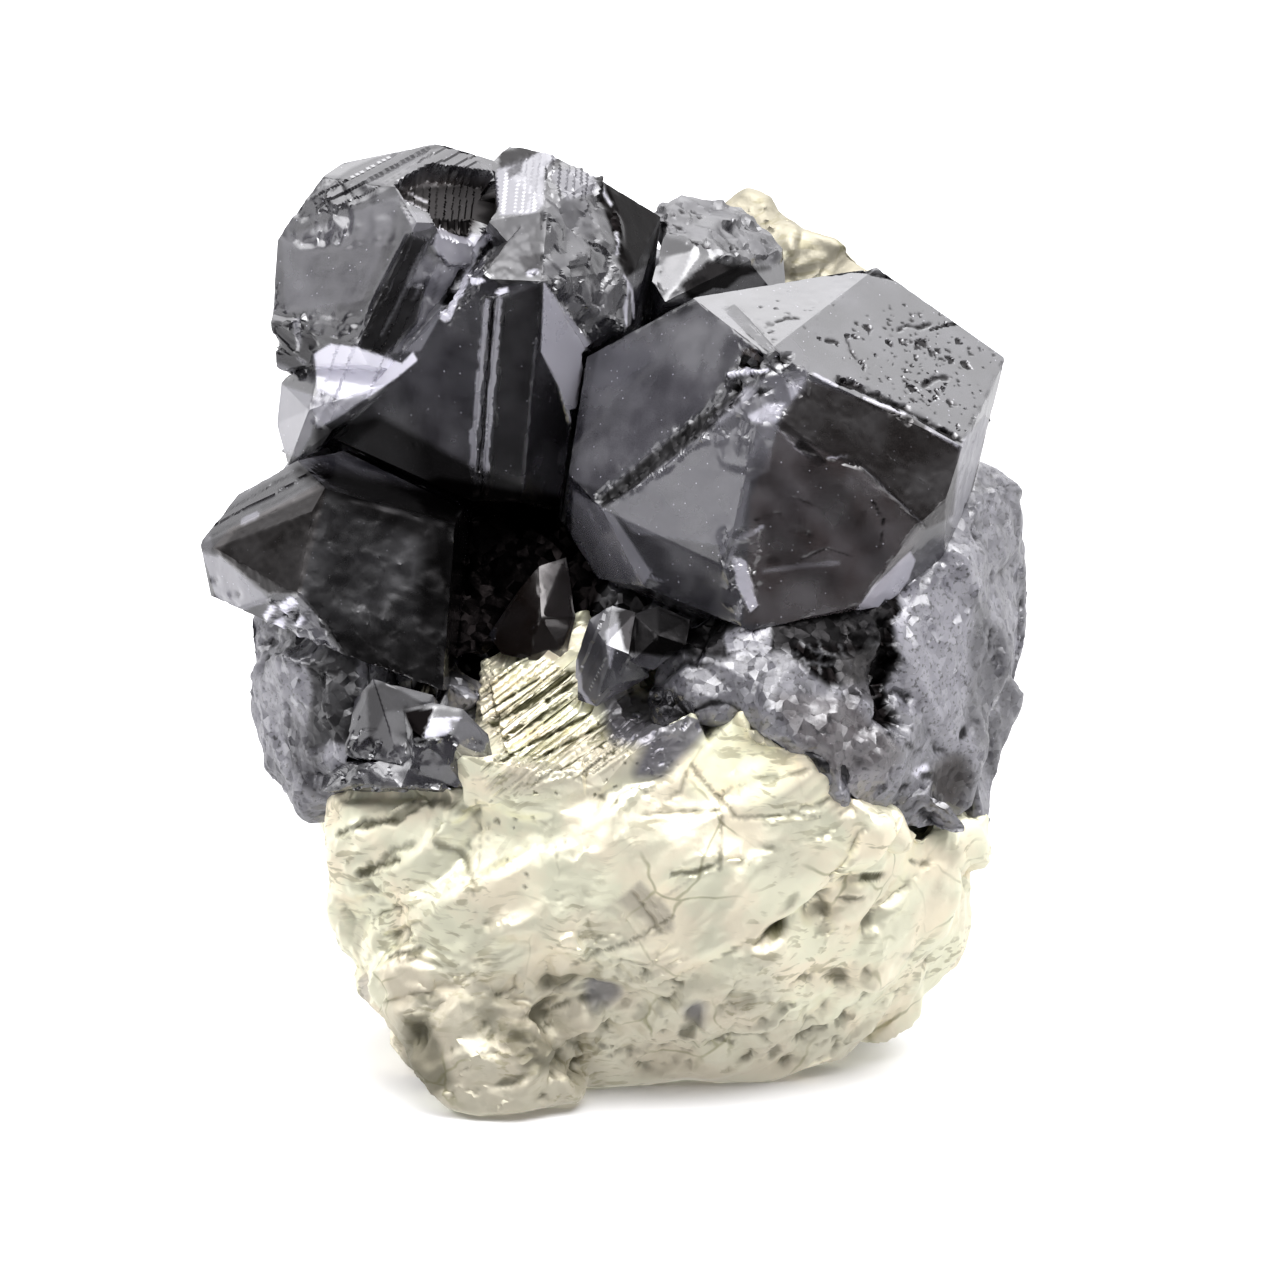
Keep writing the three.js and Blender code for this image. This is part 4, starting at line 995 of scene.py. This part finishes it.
    # block: rough upper left, striated top, lower left column
    shatter(skin, [(282, 232), (300, 205), (335, 185), (350, 200), (345, 240), (300, 242)], 0.8, 0.18, 0.10,
            79)
    grainy(skin, [(282, 232), (335, 180), (400, 190), (395, 240), (300, 250)], 0.4, 0.02, 80)
    top = [(318, 196), (352, 170), (400, 150), (470, 146), (480, 170), (430, 172), (398, 182), (345, 206)]
    stripes(skin, top, 28, 0.40, 0.08, 81, 4, 0.35)
    tone(skin, top, 4, pale=0.10, dark=0.30)
    tone(skin, [(283, 238), (400, 196), (392, 222), (362, 300), (286, 312)], 3, pale=0.20)
    column = [(271, 316), (300, 318), (314, 345), (306, 374), (284, 376), (271, 365)]
    shatter(skin, column, 1.0, 0.28, 0.12, 82)
    tone(skin, column, 3, dark=0.40)
    for line in ([(297, 320), (299, 345)], [(280, 365), (292, 371)], [(300, 358), (304, 362)]):
        glow(skin, line, 2.0, 3.0, pale=0.35, dark=0.0)
    grainy(skin, [(285, 310), (360, 318), (375, 345), (320, 345)], 0.25, 0.03, 83)
    # facet under the block, painted near white as a painted reflection of the bright light on it
    white = [(315, 354), (331, 344), (362, 349), (402, 364), (413, 353), (417, 360), (398, 376), (366, 398),
             (340, 408),
             (318, 392)]
    tone(skin, white, 2, pale=1.0, rough=0.12)
    stripes(skin, white, 70, 0.7, 0.06, 84)
    speckled = [(318, 392), (342, 400), (366, 396), (345, 412), (318, 428), (311, 412)]
    tone(skin, speckled, 3, pale=0.6, rough=0.3)
    grainy(skin, speckled, 0.3, 0.06, 85)
    tone(skin, [(276, 384), (312, 396), (312, 432), (298, 456), (278, 450)], 4, pale=0.45)
    # lower left face; its part over the cleft is darkened with painted shade
    pits(skin, [(330, 430), (400, 400), (470, 340), (470, 500), (400, 470)], 1.2, 0.02, 0.10, 86, 0.0)
    tone(skin, [(318, 432), (380, 420), (470, 470), (560, 500), (560, 530), (400, 500), (320, 450)], 8,
         dark=0.8)
    tone(skin, [(400, 490), (440, 480), (585, 505), (575, 600), (440, 580)], 6, dark=1.0, pale=0.0)


leftLook = {"first": 1.2, "front": 0.15, "back": 0.9, "rough": 0.18, "orangePeel": 0.008, "chips": 0.05}


def markLeft(skin):
    face = [(327, 482), (300, 592), (268, 592), (214, 548), (230, 530)]
    tone(skin, face, 2, brown=0.75, rough=0.3, dark=0.80)
    grainy(skin, face, 0.22, 0.014, 91)
    band = [(320, 462), (328, 484), (232, 530), (206, 540), (203, 524), (262, 486)]
    stripes(skin, band, 30, 0.35, 0.04, 92, 3, 0.3)
    tone(skin, [(200, 522), (236, 527), (222, 546), (216, 554), (200, 550)], 3, dark=0.55)
    tone(skin, band, 3, dark=0.30)
    glow(skin, [(244, 522), (256, 515)], 3, 2, pale=0.6)
    lower = [(203, 552), (219, 556), (270, 600), (240, 612), (206, 592)]
    tone(skin, lower, 1.5, pale=0.42, rough=0.2)
    hollow(skin, 215, 580, 6, 5, 0, 0.06, 0.9)
    hollow(skin, 235, 595, 8, 6, 0, 0.08, 0.9)
    tone(skin, [(200, 545), (206, 520), (212, 545), (208, 556)], 2, pale=0.35)
    right = [(328, 486), (430, 520), (445, 600), (430, 690), (345, 660), (302, 610), (304, 560)]
    shatter(skin, right, 1.3, 0.05, 0.02, 93)
    shatter(skin, right, 0.6, 0.05, 0.02, 94)
    tone(skin, right, 4, dark=0.60, rough=0.3)
    # painted shade beside the cleft and under the twinned crystal
    tone(skin, [(300, 470), (460, 500), (470, 700), (415, 700), (430, 540), (330, 490)], 12, dark=0.9)
    tone(skin, [(330, 640), (440, 630), (470, 720), (345, 720)], 8, dark=0.85)
    for line in ([(345, 505), (372, 500), (400, 512)], [(352, 556), (378, 560)],
                 [(404, 540), (414, 556), (412, 590)],
                 [(320, 552), (330, 548)], [(360, 600), (386, 604)]):
        glow(skin, line, 1.4, 4.0, pale=0.20)
    sparkle = [(272, 604), (300, 596), (330, 640), (350, 668), (300, 672), (268, 640)]
    shatter(skin, sparkle, 0.6, 0.45, 0.18, 95)
    tone(skin, sparkle, 4, pale=0.30, dark=0.0)
    pits(skin, sparkle, 0.5, 0.12, 0.5, 96)
    # painted glints
    for x, y, size in ((278, 626, 4), (288, 606, 5), (270, 612, 3), (296, 640, 3), (300, 622, 2)):
        glow(skin, [(x - 3, y + 3), (x + 2, y - 3)], size, 2.0, pale=1.0, dark=0.0)
    for x, y, long in ((296, 618, 9), (286, 640, 8), (306, 652, 9), (276, 644, 6)):
        hollow(skin, x, y, long, 5, 70, 0.15, 1.0)


upperLook = {"first": 1.2, "front": 0.16, "back": 0.9, "rough": 0.2, "orangePeel": 0.01, "chips": 0.05}


def markUpper(skin):
    facet = [(648, 233), (655, 229), (692, 246), (680, 282), (660, 298), (640, 270)]
    tone(skin, facet, 2, pale=0.10, dark=0.43, rough=0.2)
    hollow(skin, 656, 262, 6, 3, 60, 0.05, 0.7)
    dark = [(682, 285), (708, 262), (730, 264), (770, 268), (740, 276), (712, 300), (690, 300)]
    tone(skin, dark, 3, dark=0.95)
    rest = [(655, 205), (720, 200), (775, 225), (778, 262), (730, 262), (694, 245), (655, 226)]
    shatter(skin, rest, 1.1, 0.34, 0.10, 101)
    shatter(skin, rest, 0.5, 0.18, 0.06, 102)
    tone(skin, rest, 4, pale=0.18, dark=0.25, rough=0.3)
    pits(skin, rest, 0.7, 0.08, 0.4, 103)


smallLook = {"first": 1.0, "front": 0.13, "back": 0.8, "rough": 0.16, "orangePeel": 0.008, "chips": 0.04}


def markLowerLeft(skin):
    tone(skin, [(402, 711), (433, 709), (421, 738), (414, 736)], 1.5, dark=1.0, pale=0.0)
    facet = [(430, 718), (462, 717), (447, 734), (424, 738)]
    tone(skin, facet, 1.2, pale=0.85, dark=0.0)
    tone(skin, [(368, 690), (384, 682), (425, 706), (386, 712), (371, 745)], 3, pale=0.10, dark=0.6)
    tone(skin, [(372, 744), (386, 714), (402, 712), (412, 742), (380, 752)], 3, pale=0.12, dark=0.3)
    tone(skin, [(452, 722), (494, 726), (492, 748), (460, 752)], 3, pale=0.18)
    shatter(skin, [(340, 730), (500, 745), (500, 800), (330, 800)], 0.8, 0.20, 0.08, 111)
    hollow(skin, 420, 742, 9, 5, 0, 0.15, 0.95)


def markCentre(skin):
    rounded = [(575, 640), (592, 612), (606, 606), (610, 660), (596, 700), (576, 690)]
    tone(skin, rounded, 2, pale=0.13, rough=0.35)
    stripes(skin, rounded, 65, 0.4, 0.05, 112)
    tone(skin, [(573, 658), (578, 660), (582, 690), (596, 708), (578, 712)], 1.5, pale=0.6)
    tone(skin, [(606, 632), (618, 622), (616, 640), (610, 668)], 2, pale=0.45)
    # painted shade under the large crystal
    tone(skin, [(618, 612), (660, 600), (690, 600), (728, 660), (700, 660), (626, 650)], 3, dark=0.92)
    # a painted glint
    glow(skin, [(650, 604), (668, 597), (675, 598)], 2.5, 1.5, pale=1.0, dark=0.0)


def markCleft(skin):
    # painted shade in the cleft; the brown is the crystals' own
    tone(skin, [(470, 540), (590, 540), (590, 660), (470, 660)], 4, dark=0.62, brown=0.8)
    glow(skin, [(532, 590), (540, 640)], 4, 5, pale=0.12, brown=0.8)
    glow(skin, [(552, 585), (556, 640)], 4, 5, pale=0.12, brown=0.8)
    glow(skin, [(485, 628), (520, 612)], 7, 6, pale=0.2)


looksAndMarks = [(largeCrystal, markLarge), (twinned, markTwin), (leftLook, markLeft),
                 (upperLook, markUpper), (smallLook, markLowerLeft), (smallLook, markCentre),
                 (smallLook, markCleft)]
for name, (look, marks) in zip(crystalNames, looksAndMarks):
    makeCrystal(name, look, marks)

# The pyrite's thin ledge at the right, and the crust on it: each one is drawn a little towards the other
ledge = [(920, 785), (1010, 785), (1010, 865), (920, 865)]
ledgeMeets = {"outline": [(938, 796), (1004, 796), (1004, 850), (938, 850)], "up": 0.8, "down": 0.45}


def awayFromLedge(points):
    return 1 - 0.85 * patchOf(sighted(points), ledge, 20)


def drawnTogether(points, skin, way, reach):
    share = patchOf(skin["at"], ledgeMeets["outline"], 14) * np.clip(skin["out"][:, 2] * way, 0, 1)
    return points + np.outer(share, (0.0, 0.0, way * reach))


# Massive sphalerite, in millimetres
crust = {
    "first": 0.8,  # wanted edge lengths: at first, then in front and behind
    "front": 0.16,
    "back": 0.45,
    "grain": (0.5, 0.2, -0.8),
    "breaks": ((3.2, 21, 0.20, 0.06, 1.6), (1.3, 22, 0.16, 0.05, 1.5), (0.6, 23, 0.10, 0.04, 1.0)),
    "rough": 0.36,
    "evenRounds": 16,
    "onCrystals": (1.1, 0.40, 0.62),  # fade of the relief, and the gap over which the surface is drawn on
    "pyriteReach": 0.9,
    "pyriteSink": 0.15,
    "pyriteSeat": 0.45,
    "topDrop": (0.9, 0.0, 2.4),  # how far the upper right is drawn in and down
    "dropAcross": (12.5, 15.0),
    "dropUp": (24.0, 29.5),
    "shade": (0.8, 0.03, 0.12),
}


def makeCrust():
    piece = copyOf("massive_sphalerite", "massive_sphalerite_crust")
    refineForView(piece, crust["first"], crust["front"], crust["back"])
    setPlaces(piece, calmed(piece, crust["evenRounds"], awayFromLedge(placesOf(piece))))
    skin = startSkin(piece, crust["rough"])
    points = skin["points"]
    skin["rise"] += breaksOf(points, crust["grain"], crust["breaks"])
    skin["rough"] += 0.10 * swell(points, 0.8, 31)
    skin["pale"] += (0.38 + 0.07 * swell(points, 1.5, 32) + 0.10 * swell(points, 0.45, 33)
                     + 0.05 * swell(points, 0.2, 34))
    markCrust(skin)
    points = layRelief(skin, *crust["onCrystals"])
    reach = crust["pyriteReach"]
    far, seat = seatOf(points, solidTree(["pyrite_matrix"]), reach, crust["pyriteSink"])
    points = points + (seat - points) * (1 - rampOf(far, crust["pyriteSeat"], reach))[:, None]
    beside = rampOf(points[:, 0], *crust["dropAcross"]) * rampOf(points[:, 2], *crust["dropUp"])
    points = points - beside[:, None] * np.array(crust["topDrop"])
    points = drawnTogether(points, skin, -1, ledgeMeets["down"])
    points = unspiked(evened(points, skin["ends"], 1), skin["ends"], 8)
    setPlaces(piece, points)
    shadeHollows(skin, points, *crust["shade"])
    setFinishAndPaintedLight(piece, skin)
    finishPiece(piece, "massive_sphalerite", crustFinish, 50)


def markCrust(skin):
    # split beside the large crystal, painted black as the shade in it
    split = [(948, 528), (935, 548), (915, 575), (893, 600), (884, 630), (884, 700), (888, 718)]
    furrow(skin, split, 11, 0.9, 1.0)
    glow(skin, split, 8, 3, dark=1.0, pale=0.0)
    # lighter right side
    right = [(905, 620), (945, 545), (975, 540), (985, 700), (960, 750), (905, 700)]
    tone(skin, right, 12, pale=0.50)
    tone(skin, [(890, 600), (912, 590), (925, 570), (905, 625), (895, 640)], 4, pale=0.66)
    tone(skin, [(975, 600), (1005, 640), (1000, 780), (972, 720)], 10, pale=0.26)
    tone(skin, [(978, 540), (1015, 540), (1015, 590), (985, 590)], 8, pale=0.40)
    # black veined patch
    veined = [(775, 634), (845, 640), (872, 650), (870, 676), (830, 682), (795, 655)]
    tone(skin, veined, 6, dark=1.0, pale=0.0)
    shatter(skin, veined, 0.6, 0.25, 0.1, 121)
    for line in ([(792, 640), (815, 652), (838, 655)], [(805, 662), (830, 664), (850, 658)],
                 [(818, 640), (822, 672)],
                 [(840, 645), (852, 668)], [(780, 648), (800, 656), (812, 672)]):
        glow(skin, line, 0.6, 1.2, pale=0.32, dark=0.3)
    tone(skin, [(838, 660), (880, 650), (884, 700), (850, 694)], 6, dark=0.6, brown=0.5)
    # shade under the large crystal and in the cleft
    tone(skin, [(660, 600), (740, 632), (860, 622), (890, 610), (880, 640), (800, 640), (725, 655),
                (660, 650)], 7,
         dark=0.9, pale=0.0)
    tone(skin, [(400, 470), (585, 480), (600, 580), (600, 640), (560, 650), (480, 650), (420, 720),
                (400, 690)], 14,
         dark=1.0, pale=0.0)
    tone(skin, [(606, 600), (690, 600), (735, 655), (700, 655), (640, 645)], 6, dark=0.9, pale=0.0)
    # band along the pyrite, with its dark glinting side
    tone(skin, [(650, 655), (725, 640), (790, 655), (770, 700), (690, 700), (650, 690)], 6, pale=0.34)
    tone(skin, [(725, 636), (772, 636), (768, 652), (730, 656)], 3, pale=0.48, dark=0.0)
    druse = [(598, 690), (640, 680), (700, 705), (690, 735), (640, 770), (615, 740)]
    shatter(skin, druse, 0.55, 0.45, 0.16, 122)
    tone(skin, druse, 6, dark=0.6, rough=0.15)
    pits(skin, druse, 0.5, 0.1, 0.5, 125, 1.0)
    # painted glints
    for line in ([(612, 706), (622, 712)], [(640, 700), (652, 694)], [(662, 716), (676, 712)],
                 [(628, 730), (636, 722)]):
        glow(skin, line, 1.6, 2.0, pale=0.7, dark=0.0)
    tone(skin, [(640, 715), (690, 720), (665, 760), (640, 775)], 5, pale=0.34, dark=0.2)
    furrow(skin, [(655, 700), (690, 706), (735, 700)], 5, 0.12, 0.85)
    furrow(skin, [(660, 664), (684, 660), (700, 668), (714, 662)], 3, 0.08, 0.8)
    furrow(skin, [(730, 654), (744, 650), (760, 652)], 2.5, 0.06, 0.8)
    # smooth greenish lower part and its blotches
    tone(skin, [(780, 700), (850, 700), (890, 750), (870, 790), (820, 770)], 10, pale=0.24, brown=0.6)
    tone(skin, [(830, 780), (880, 770), (930, 790), (925, 812), (835, 815)], 8, pale=0.38)
    for x, y, long, short, turn in ((905, 745, 12, 5, -20), (925, 775, 16, 6, -10), (900, 785, 12, 5, 10),
                                    (905, 728, 9, 4, 0), (952, 780, 12, 14, 60), (965, 730, 16, 7, 60),
                                    (918, 752, 10, 4, 20), (888, 735, 8, 4, 0)):
        hollow(skin, x, y, long, short, turn, 0.08, 0.9)
    # a painted glint
    glow(skin, [(916, 772), (924, 768)], 3, 3, pale=1.0, dark=0.0)
    tone(skin, [(942, 772), (958, 764), (962, 782), (955, 796), (944, 790)], 14, brown=1.0, dark=0.5,
         pale=0.0)
    # lower left: pale side, dark ridge, sparkling break
    side = [(236, 640), (262, 620), (280, 660), (305, 690), (300, 720), (318, 750), (312, 795), (240, 705)]
    tone(skin, side, 6, pale=0.47, dark=0.0)
    tone(skin, [(288, 720), (318, 735), (318, 795), (296, 770)], 6, pale=0.36, dark=0.3)
    sparkle = [(262, 600), (320, 600), (350, 660), (300, 675), (262, 650)]
    shatter(skin, sparkle, 0.6, 0.45, 0.16, 123)
    tone(skin, sparkle, 4, pale=0.40)
    pits(skin, sparkle, 0.5, 0.12, 0.45, 124)
    tone(skin, [(305, 660), (350, 655), (360, 700), (345, 740), (310, 745)], 5, dark=0.45, pale=0.1)
    tone(skin, [(325, 745), (500, 745), (500, 785), (400, 790), (330, 792)], 6, pale=0.55)


makeCrust()

# Pyrite, in millimetres
pyrite = {
    "first": 0.8,
    "front": 0.172,
    "back": 0.5,
    "striated": 0.09,  # wanted edge length on the striated step
    "grain": (0.76, -0.1, 0.62),
    "breaks": ((3.6, 41, 0.22, 0.06, 2.0), (1.5, 42, 0.18, 0.05, 2.4), (0.6, 43, 0.10, 0.04, 1.6)),
    "rough": 0.5,
    "evenRounds": 9,
    "cutFade": (0.1, 1.2),  # height over which the relief begins above the flat cut
    "onCrystals": (0.9, 0.34, 0.5),
    "shade": (0.7, 0.04, 0.15),
}
striatedPart = [(468, 655), (520, 640), (640, 650), (745, 700), (660, 780), (480, 800)]


def markPyrite(skin):
    for corner, pitch, depth, seed, dark in (((660, 735), 0.30, 0.14, 131, 0.9),
                                             ((640, 735), 0.13, 0.05, 132, 0.5)):
        step = [(478, 655), (520, 645), (590, 690), corner, (600, 770), (490, 795), (476, 740)]
        stripes(skin, step, 38, pitch, depth, seed, 4, dark)
    for line, width in (([(494, 724), (574, 672)], 5.5), ([(506, 738), (566, 700)], 4.5),
                        ([(520, 752), (632, 690)], 3.0),
                        ([(480, 716), (540, 678)], 2.0), ([(530, 762), (640, 706)], 2.2),
                        ([(498, 762), (560, 728)], 3.0),
                        ([(548, 700), (592, 672)], 3.5), ([(560, 768), (650, 716)], 2.0),
                        ([(478, 700), (500, 688)], 1.6)):
        furrow(skin, line, width, 0.10, 1.0)
    tone(skin, [(560, 740), (640, 722), (676, 744), (640, 772), (520, 790), (490, 786)], 8, brown=0.6)
    # cracks and ledges; the darkening under the ledges is painted shadow, in the cracks it is their dark
    # fill
    for line, width, depth, dark in (
            ([(691, 765), (712, 790), (734, 814)], 3.4, 0.12, 0.6),
            ([(687, 772), (682, 790), (668, 800)], 3, 0.10, 0.5),
            ([(645, 815), (680, 812), (720, 811)], 4, 0.13, 0.65),
            ([(720, 797), (721, 830), (719, 869)], 2.6, 0.09, 0.6),
            ([(735, 817), (780, 815), (821, 817)], 2.5, 0.12, 0.5),
            ([(674, 874), (695, 874), (713, 866)], 5, 0.22, 0.75),
            ([(790, 774), (805, 768)], 5, 0.16, 0.6),
            ([(762, 780), (775, 778)], 6, 0.12, 0.4),
            ([(344, 836), (372, 826), (398, 822)], 4.5, 0.3, 0.85),
            ([(398, 822), (428, 806), (445, 800), (476, 812)], 7, 0.28, 0.6),
            ([(364, 871), (385, 864), (400, 860)], 6, 0.35, 0.9),
            ([(384, 860), (398, 850), (414, 846)], 5, 0.2, 0.6),
            ([(441, 845), (455, 850), (466, 870), (476, 884)], 6, 0.22, 0.6),
            ([(388, 957), (420, 950)], 5, 0.25, 0.8),
            ([(364, 884), (380, 890)], 6, 0.25, 0.6),
            ([(476, 800), (477, 860), (476, 915)], 1.6, 0.08, 0.35),
            ([(573, 968), (610, 950), (640, 938), (672, 918)], 3, 0.12, 0.55),
            ([(600, 940), (572, 968)], 3, 0.10, 0.4),
            ([(655, 905), (690, 880), (720, 860)], 2, 0.05, 0.2),
            ([(476, 780), (560, 770), (600, 790)], 2, 0.04, 0.15)):
        furrow(skin, line, width, depth * 0.6, dark)
    # dark hollows; the long flat ones along the ledges at the right are painted ledge shadows
    for x, y, long, short, turn, depth, dark in (
            (858, 876, 36, 8, 6, 0.35, 0.95), (850, 897, 18, 4, 3, 0.2, 0.7),
            (780, 936, 34, 12, 32, 0.6, 1.0),
            (925, 864, 16, 5, -12, 0.2, 0.7), (974, 826, 20, 7, -8, 0.5, 0.95),
            (820, 772, 12, 6, -20, 0.25, 0.85),
            (768, 848, 9, 5, 0, 0.15, 0.7), (560, 988, 30, 11, 8, 0.35, 0.7),
            (602, 1000, 20, 11, -6, 0.2, 0.5),
            (425, 1045, 30, 18, -62, 0.6, 0.85), (520, 1045, 26, 10, -50, 0.45, 0.9),
            (545, 1058, 26, 9, 20, 0.4, 0.85),
            (690, 1022, 32, 13, 68, 0.4, 0.75), (740, 1000, 24, 12, 0, 0.2, 0.5),
            (840, 1010, 14, 9, 70, 0.4, 0.85),
            (833, 972, 18, 8, 0, 0.3, 0.7), (906, 954, 16, 7, -20, 0.15, 0.4),
            (775, 1050, 14, 8, 60, 0.25, 0.6),
            (540, 1012, 30, 7, 25, 0.2, 0.5), (790, 905, 24, 7, 45, 0.15, 0.45),
            (430, 1000, 24, 9, -20, 0.2, 0.5),
            (640, 1050, 20, 6, 10, 0.15, 0.4), (510, 1080, 22, 8, 20, 0.3, 0.7)):
        hollow(skin, x, y, long, short, turn, depth * 0.6, dark)
    # dark mineral over the edge of the step, and the pale top behind
    over = [(606, 694), (650, 700), (706, 700), (722, 702), (694, 738), (660, 772), (640, 772), (652, 744),
            (616, 736)]
    tone(skin, over, 12, pale=0.78, dark=0.45, rough=0.36)
    pits(skin, [(582, 690), (640, 698), (725, 700), (692, 745), (650, 786), (606, 778), (598, 735)], 0.42,
         0.06, 0.75,
         139, 0.95, 10)
    shatter(skin, over, 0.7, 0.28, 0.10, 138)
    pits(skin, over, 0.5, 0.06, 0.5, 137, 1.0)
    # the top behind is browned and darkened as painted shade, holding down the bright light from above
    tone(skin, [(690, 180), (870, 180), (880, 290), (690, 290)], 5, brown=0.9, dark=0.40)
    tone(skin, [(590, 996), (604, 992), (618, 999), (608, 1005), (592, 1005)], 9, pale=0.62, dark=0.2)
    tone(skin, [(688, 1004), (702, 1006), (698, 1014), (691, 1013)], 9, pale=0.45)
    tone(skin, [(345, 985), (362, 980), (372, 1010), (386, 1030), (375, 1030)], 6, pale=0.45)
    # striated patch, left ledges and flecks
    patch = [(608, 912), (640, 884), (668, 912), (672, 930), (640, 938)]
    stripes(skin, patch, -55, 0.35, 0.10, 133, 4, 0.35)
    tone(skin, patch, 5, brown=0.9)
    tone(skin, [(575, 935), (615, 905), (650, 935), (600, 955)], 8, brown=0.4)
    stripes(skin, [(366, 880), (420, 885), (420, 960), (385, 965)], 14, 0.8, 0.16, 134, 6, 0.35)
    for outline, share in (([(476, 785), (570, 770), (570, 905), (480, 850)], 0.5),
                           ([(550, 778), (640, 775), (610, 830), (560, 830)], 0.5),
                           ([(500, 850), (575, 830), (560, 905), (510, 890)], 0.5)):
        pits(skin, outline, 0.5, 0.07, share, 135, 0.75, 8)
    lower = [(400, 985), (560, 975), (700, 985), (900, 975), (860, 1080), (600, 1110), (420, 1110)]
    tone(skin, lower, 30, brown=0.6)
    shatter(skin, lower, 1.6, 0.28, 0.12, 136, 20)
    shatter(skin, lower, 0.7, 0.20, 0.08, 140, 20)
    tone(skin, [(790, 940), (930, 900), (920, 990), (850, 1020), (790, 1000)], 20, brown=0.1)
    foot = [(398, 1010), (440, 985), (500, 1000), (590, 1040), (600, 1110), (420, 1110)]
    tone(skin, foot, 16, brown=0.8, rough=0.62)
    tone(skin, [(404, 1020), (425, 1015), (450, 1080), (430, 1095), (412, 1080)], 10, dark=0.65)
    tone(skin, [(500, 1030), (520, 1025), (560, 1060), (530, 1070)], 10, dark=0.65)
    tone(skin, [(466, 1000), (500, 990), (520, 1010), (490, 1020)], 10, dark=0.35)
    tone(skin, [(735, 700), (770, 702), (800, 770), (760, 800), (700, 790), (680, 760)], 10, rough=0.8,
         brown=0.0)


def makePyritePiece():
    piece = copyOf("pyrite_matrix", "pyrite_matrix_brass")
    refineForView(piece, pyrite["first"], pyrite["front"], pyrite["back"],
                  [(striatedPart, pyrite["striated"])])
    points = placesOf(piece)
    calm = 1 - patchOf(sighted(points), striatedPart, 12)
    setPlaces(piece, calmed(piece, pyrite["evenRounds"], calm * awayFromLedge(points)))
    skin = startSkin(piece, pyrite["rough"])
    points = skin["points"]
    skin["rise"] += breaksOf(points, pyrite["grain"], pyrite["breaks"]) * (0.1 + 0.9 * calm)
    skin["rough"] += 0.08 * swell(points, 1.1, 45)
    skin["brown"] += 0.30 * rampOf(swell(points, 3.0, 47), 0.0, 0.8)
    markPyrite(skin)
    skin["rise"] *= rampOf(points[:, 2], *pyrite["cutFade"])
    points = drawnTogether(layRelief(skin, *pyrite["onCrystals"]), skin, 1, ledgeMeets["up"])
    points = unspiked(points, skin["ends"], 6)
    points[:, 2] = np.maximum(points[:, 2], 0)
    setPlaces(piece, points)
    shadeHollows(skin, points, *pyrite["shade"])
    setFinishAndPaintedLight(piece, skin)
    finishPiece(piece, "pyrite_matrix", pyriteFinish, 45)


makePyritePiece()
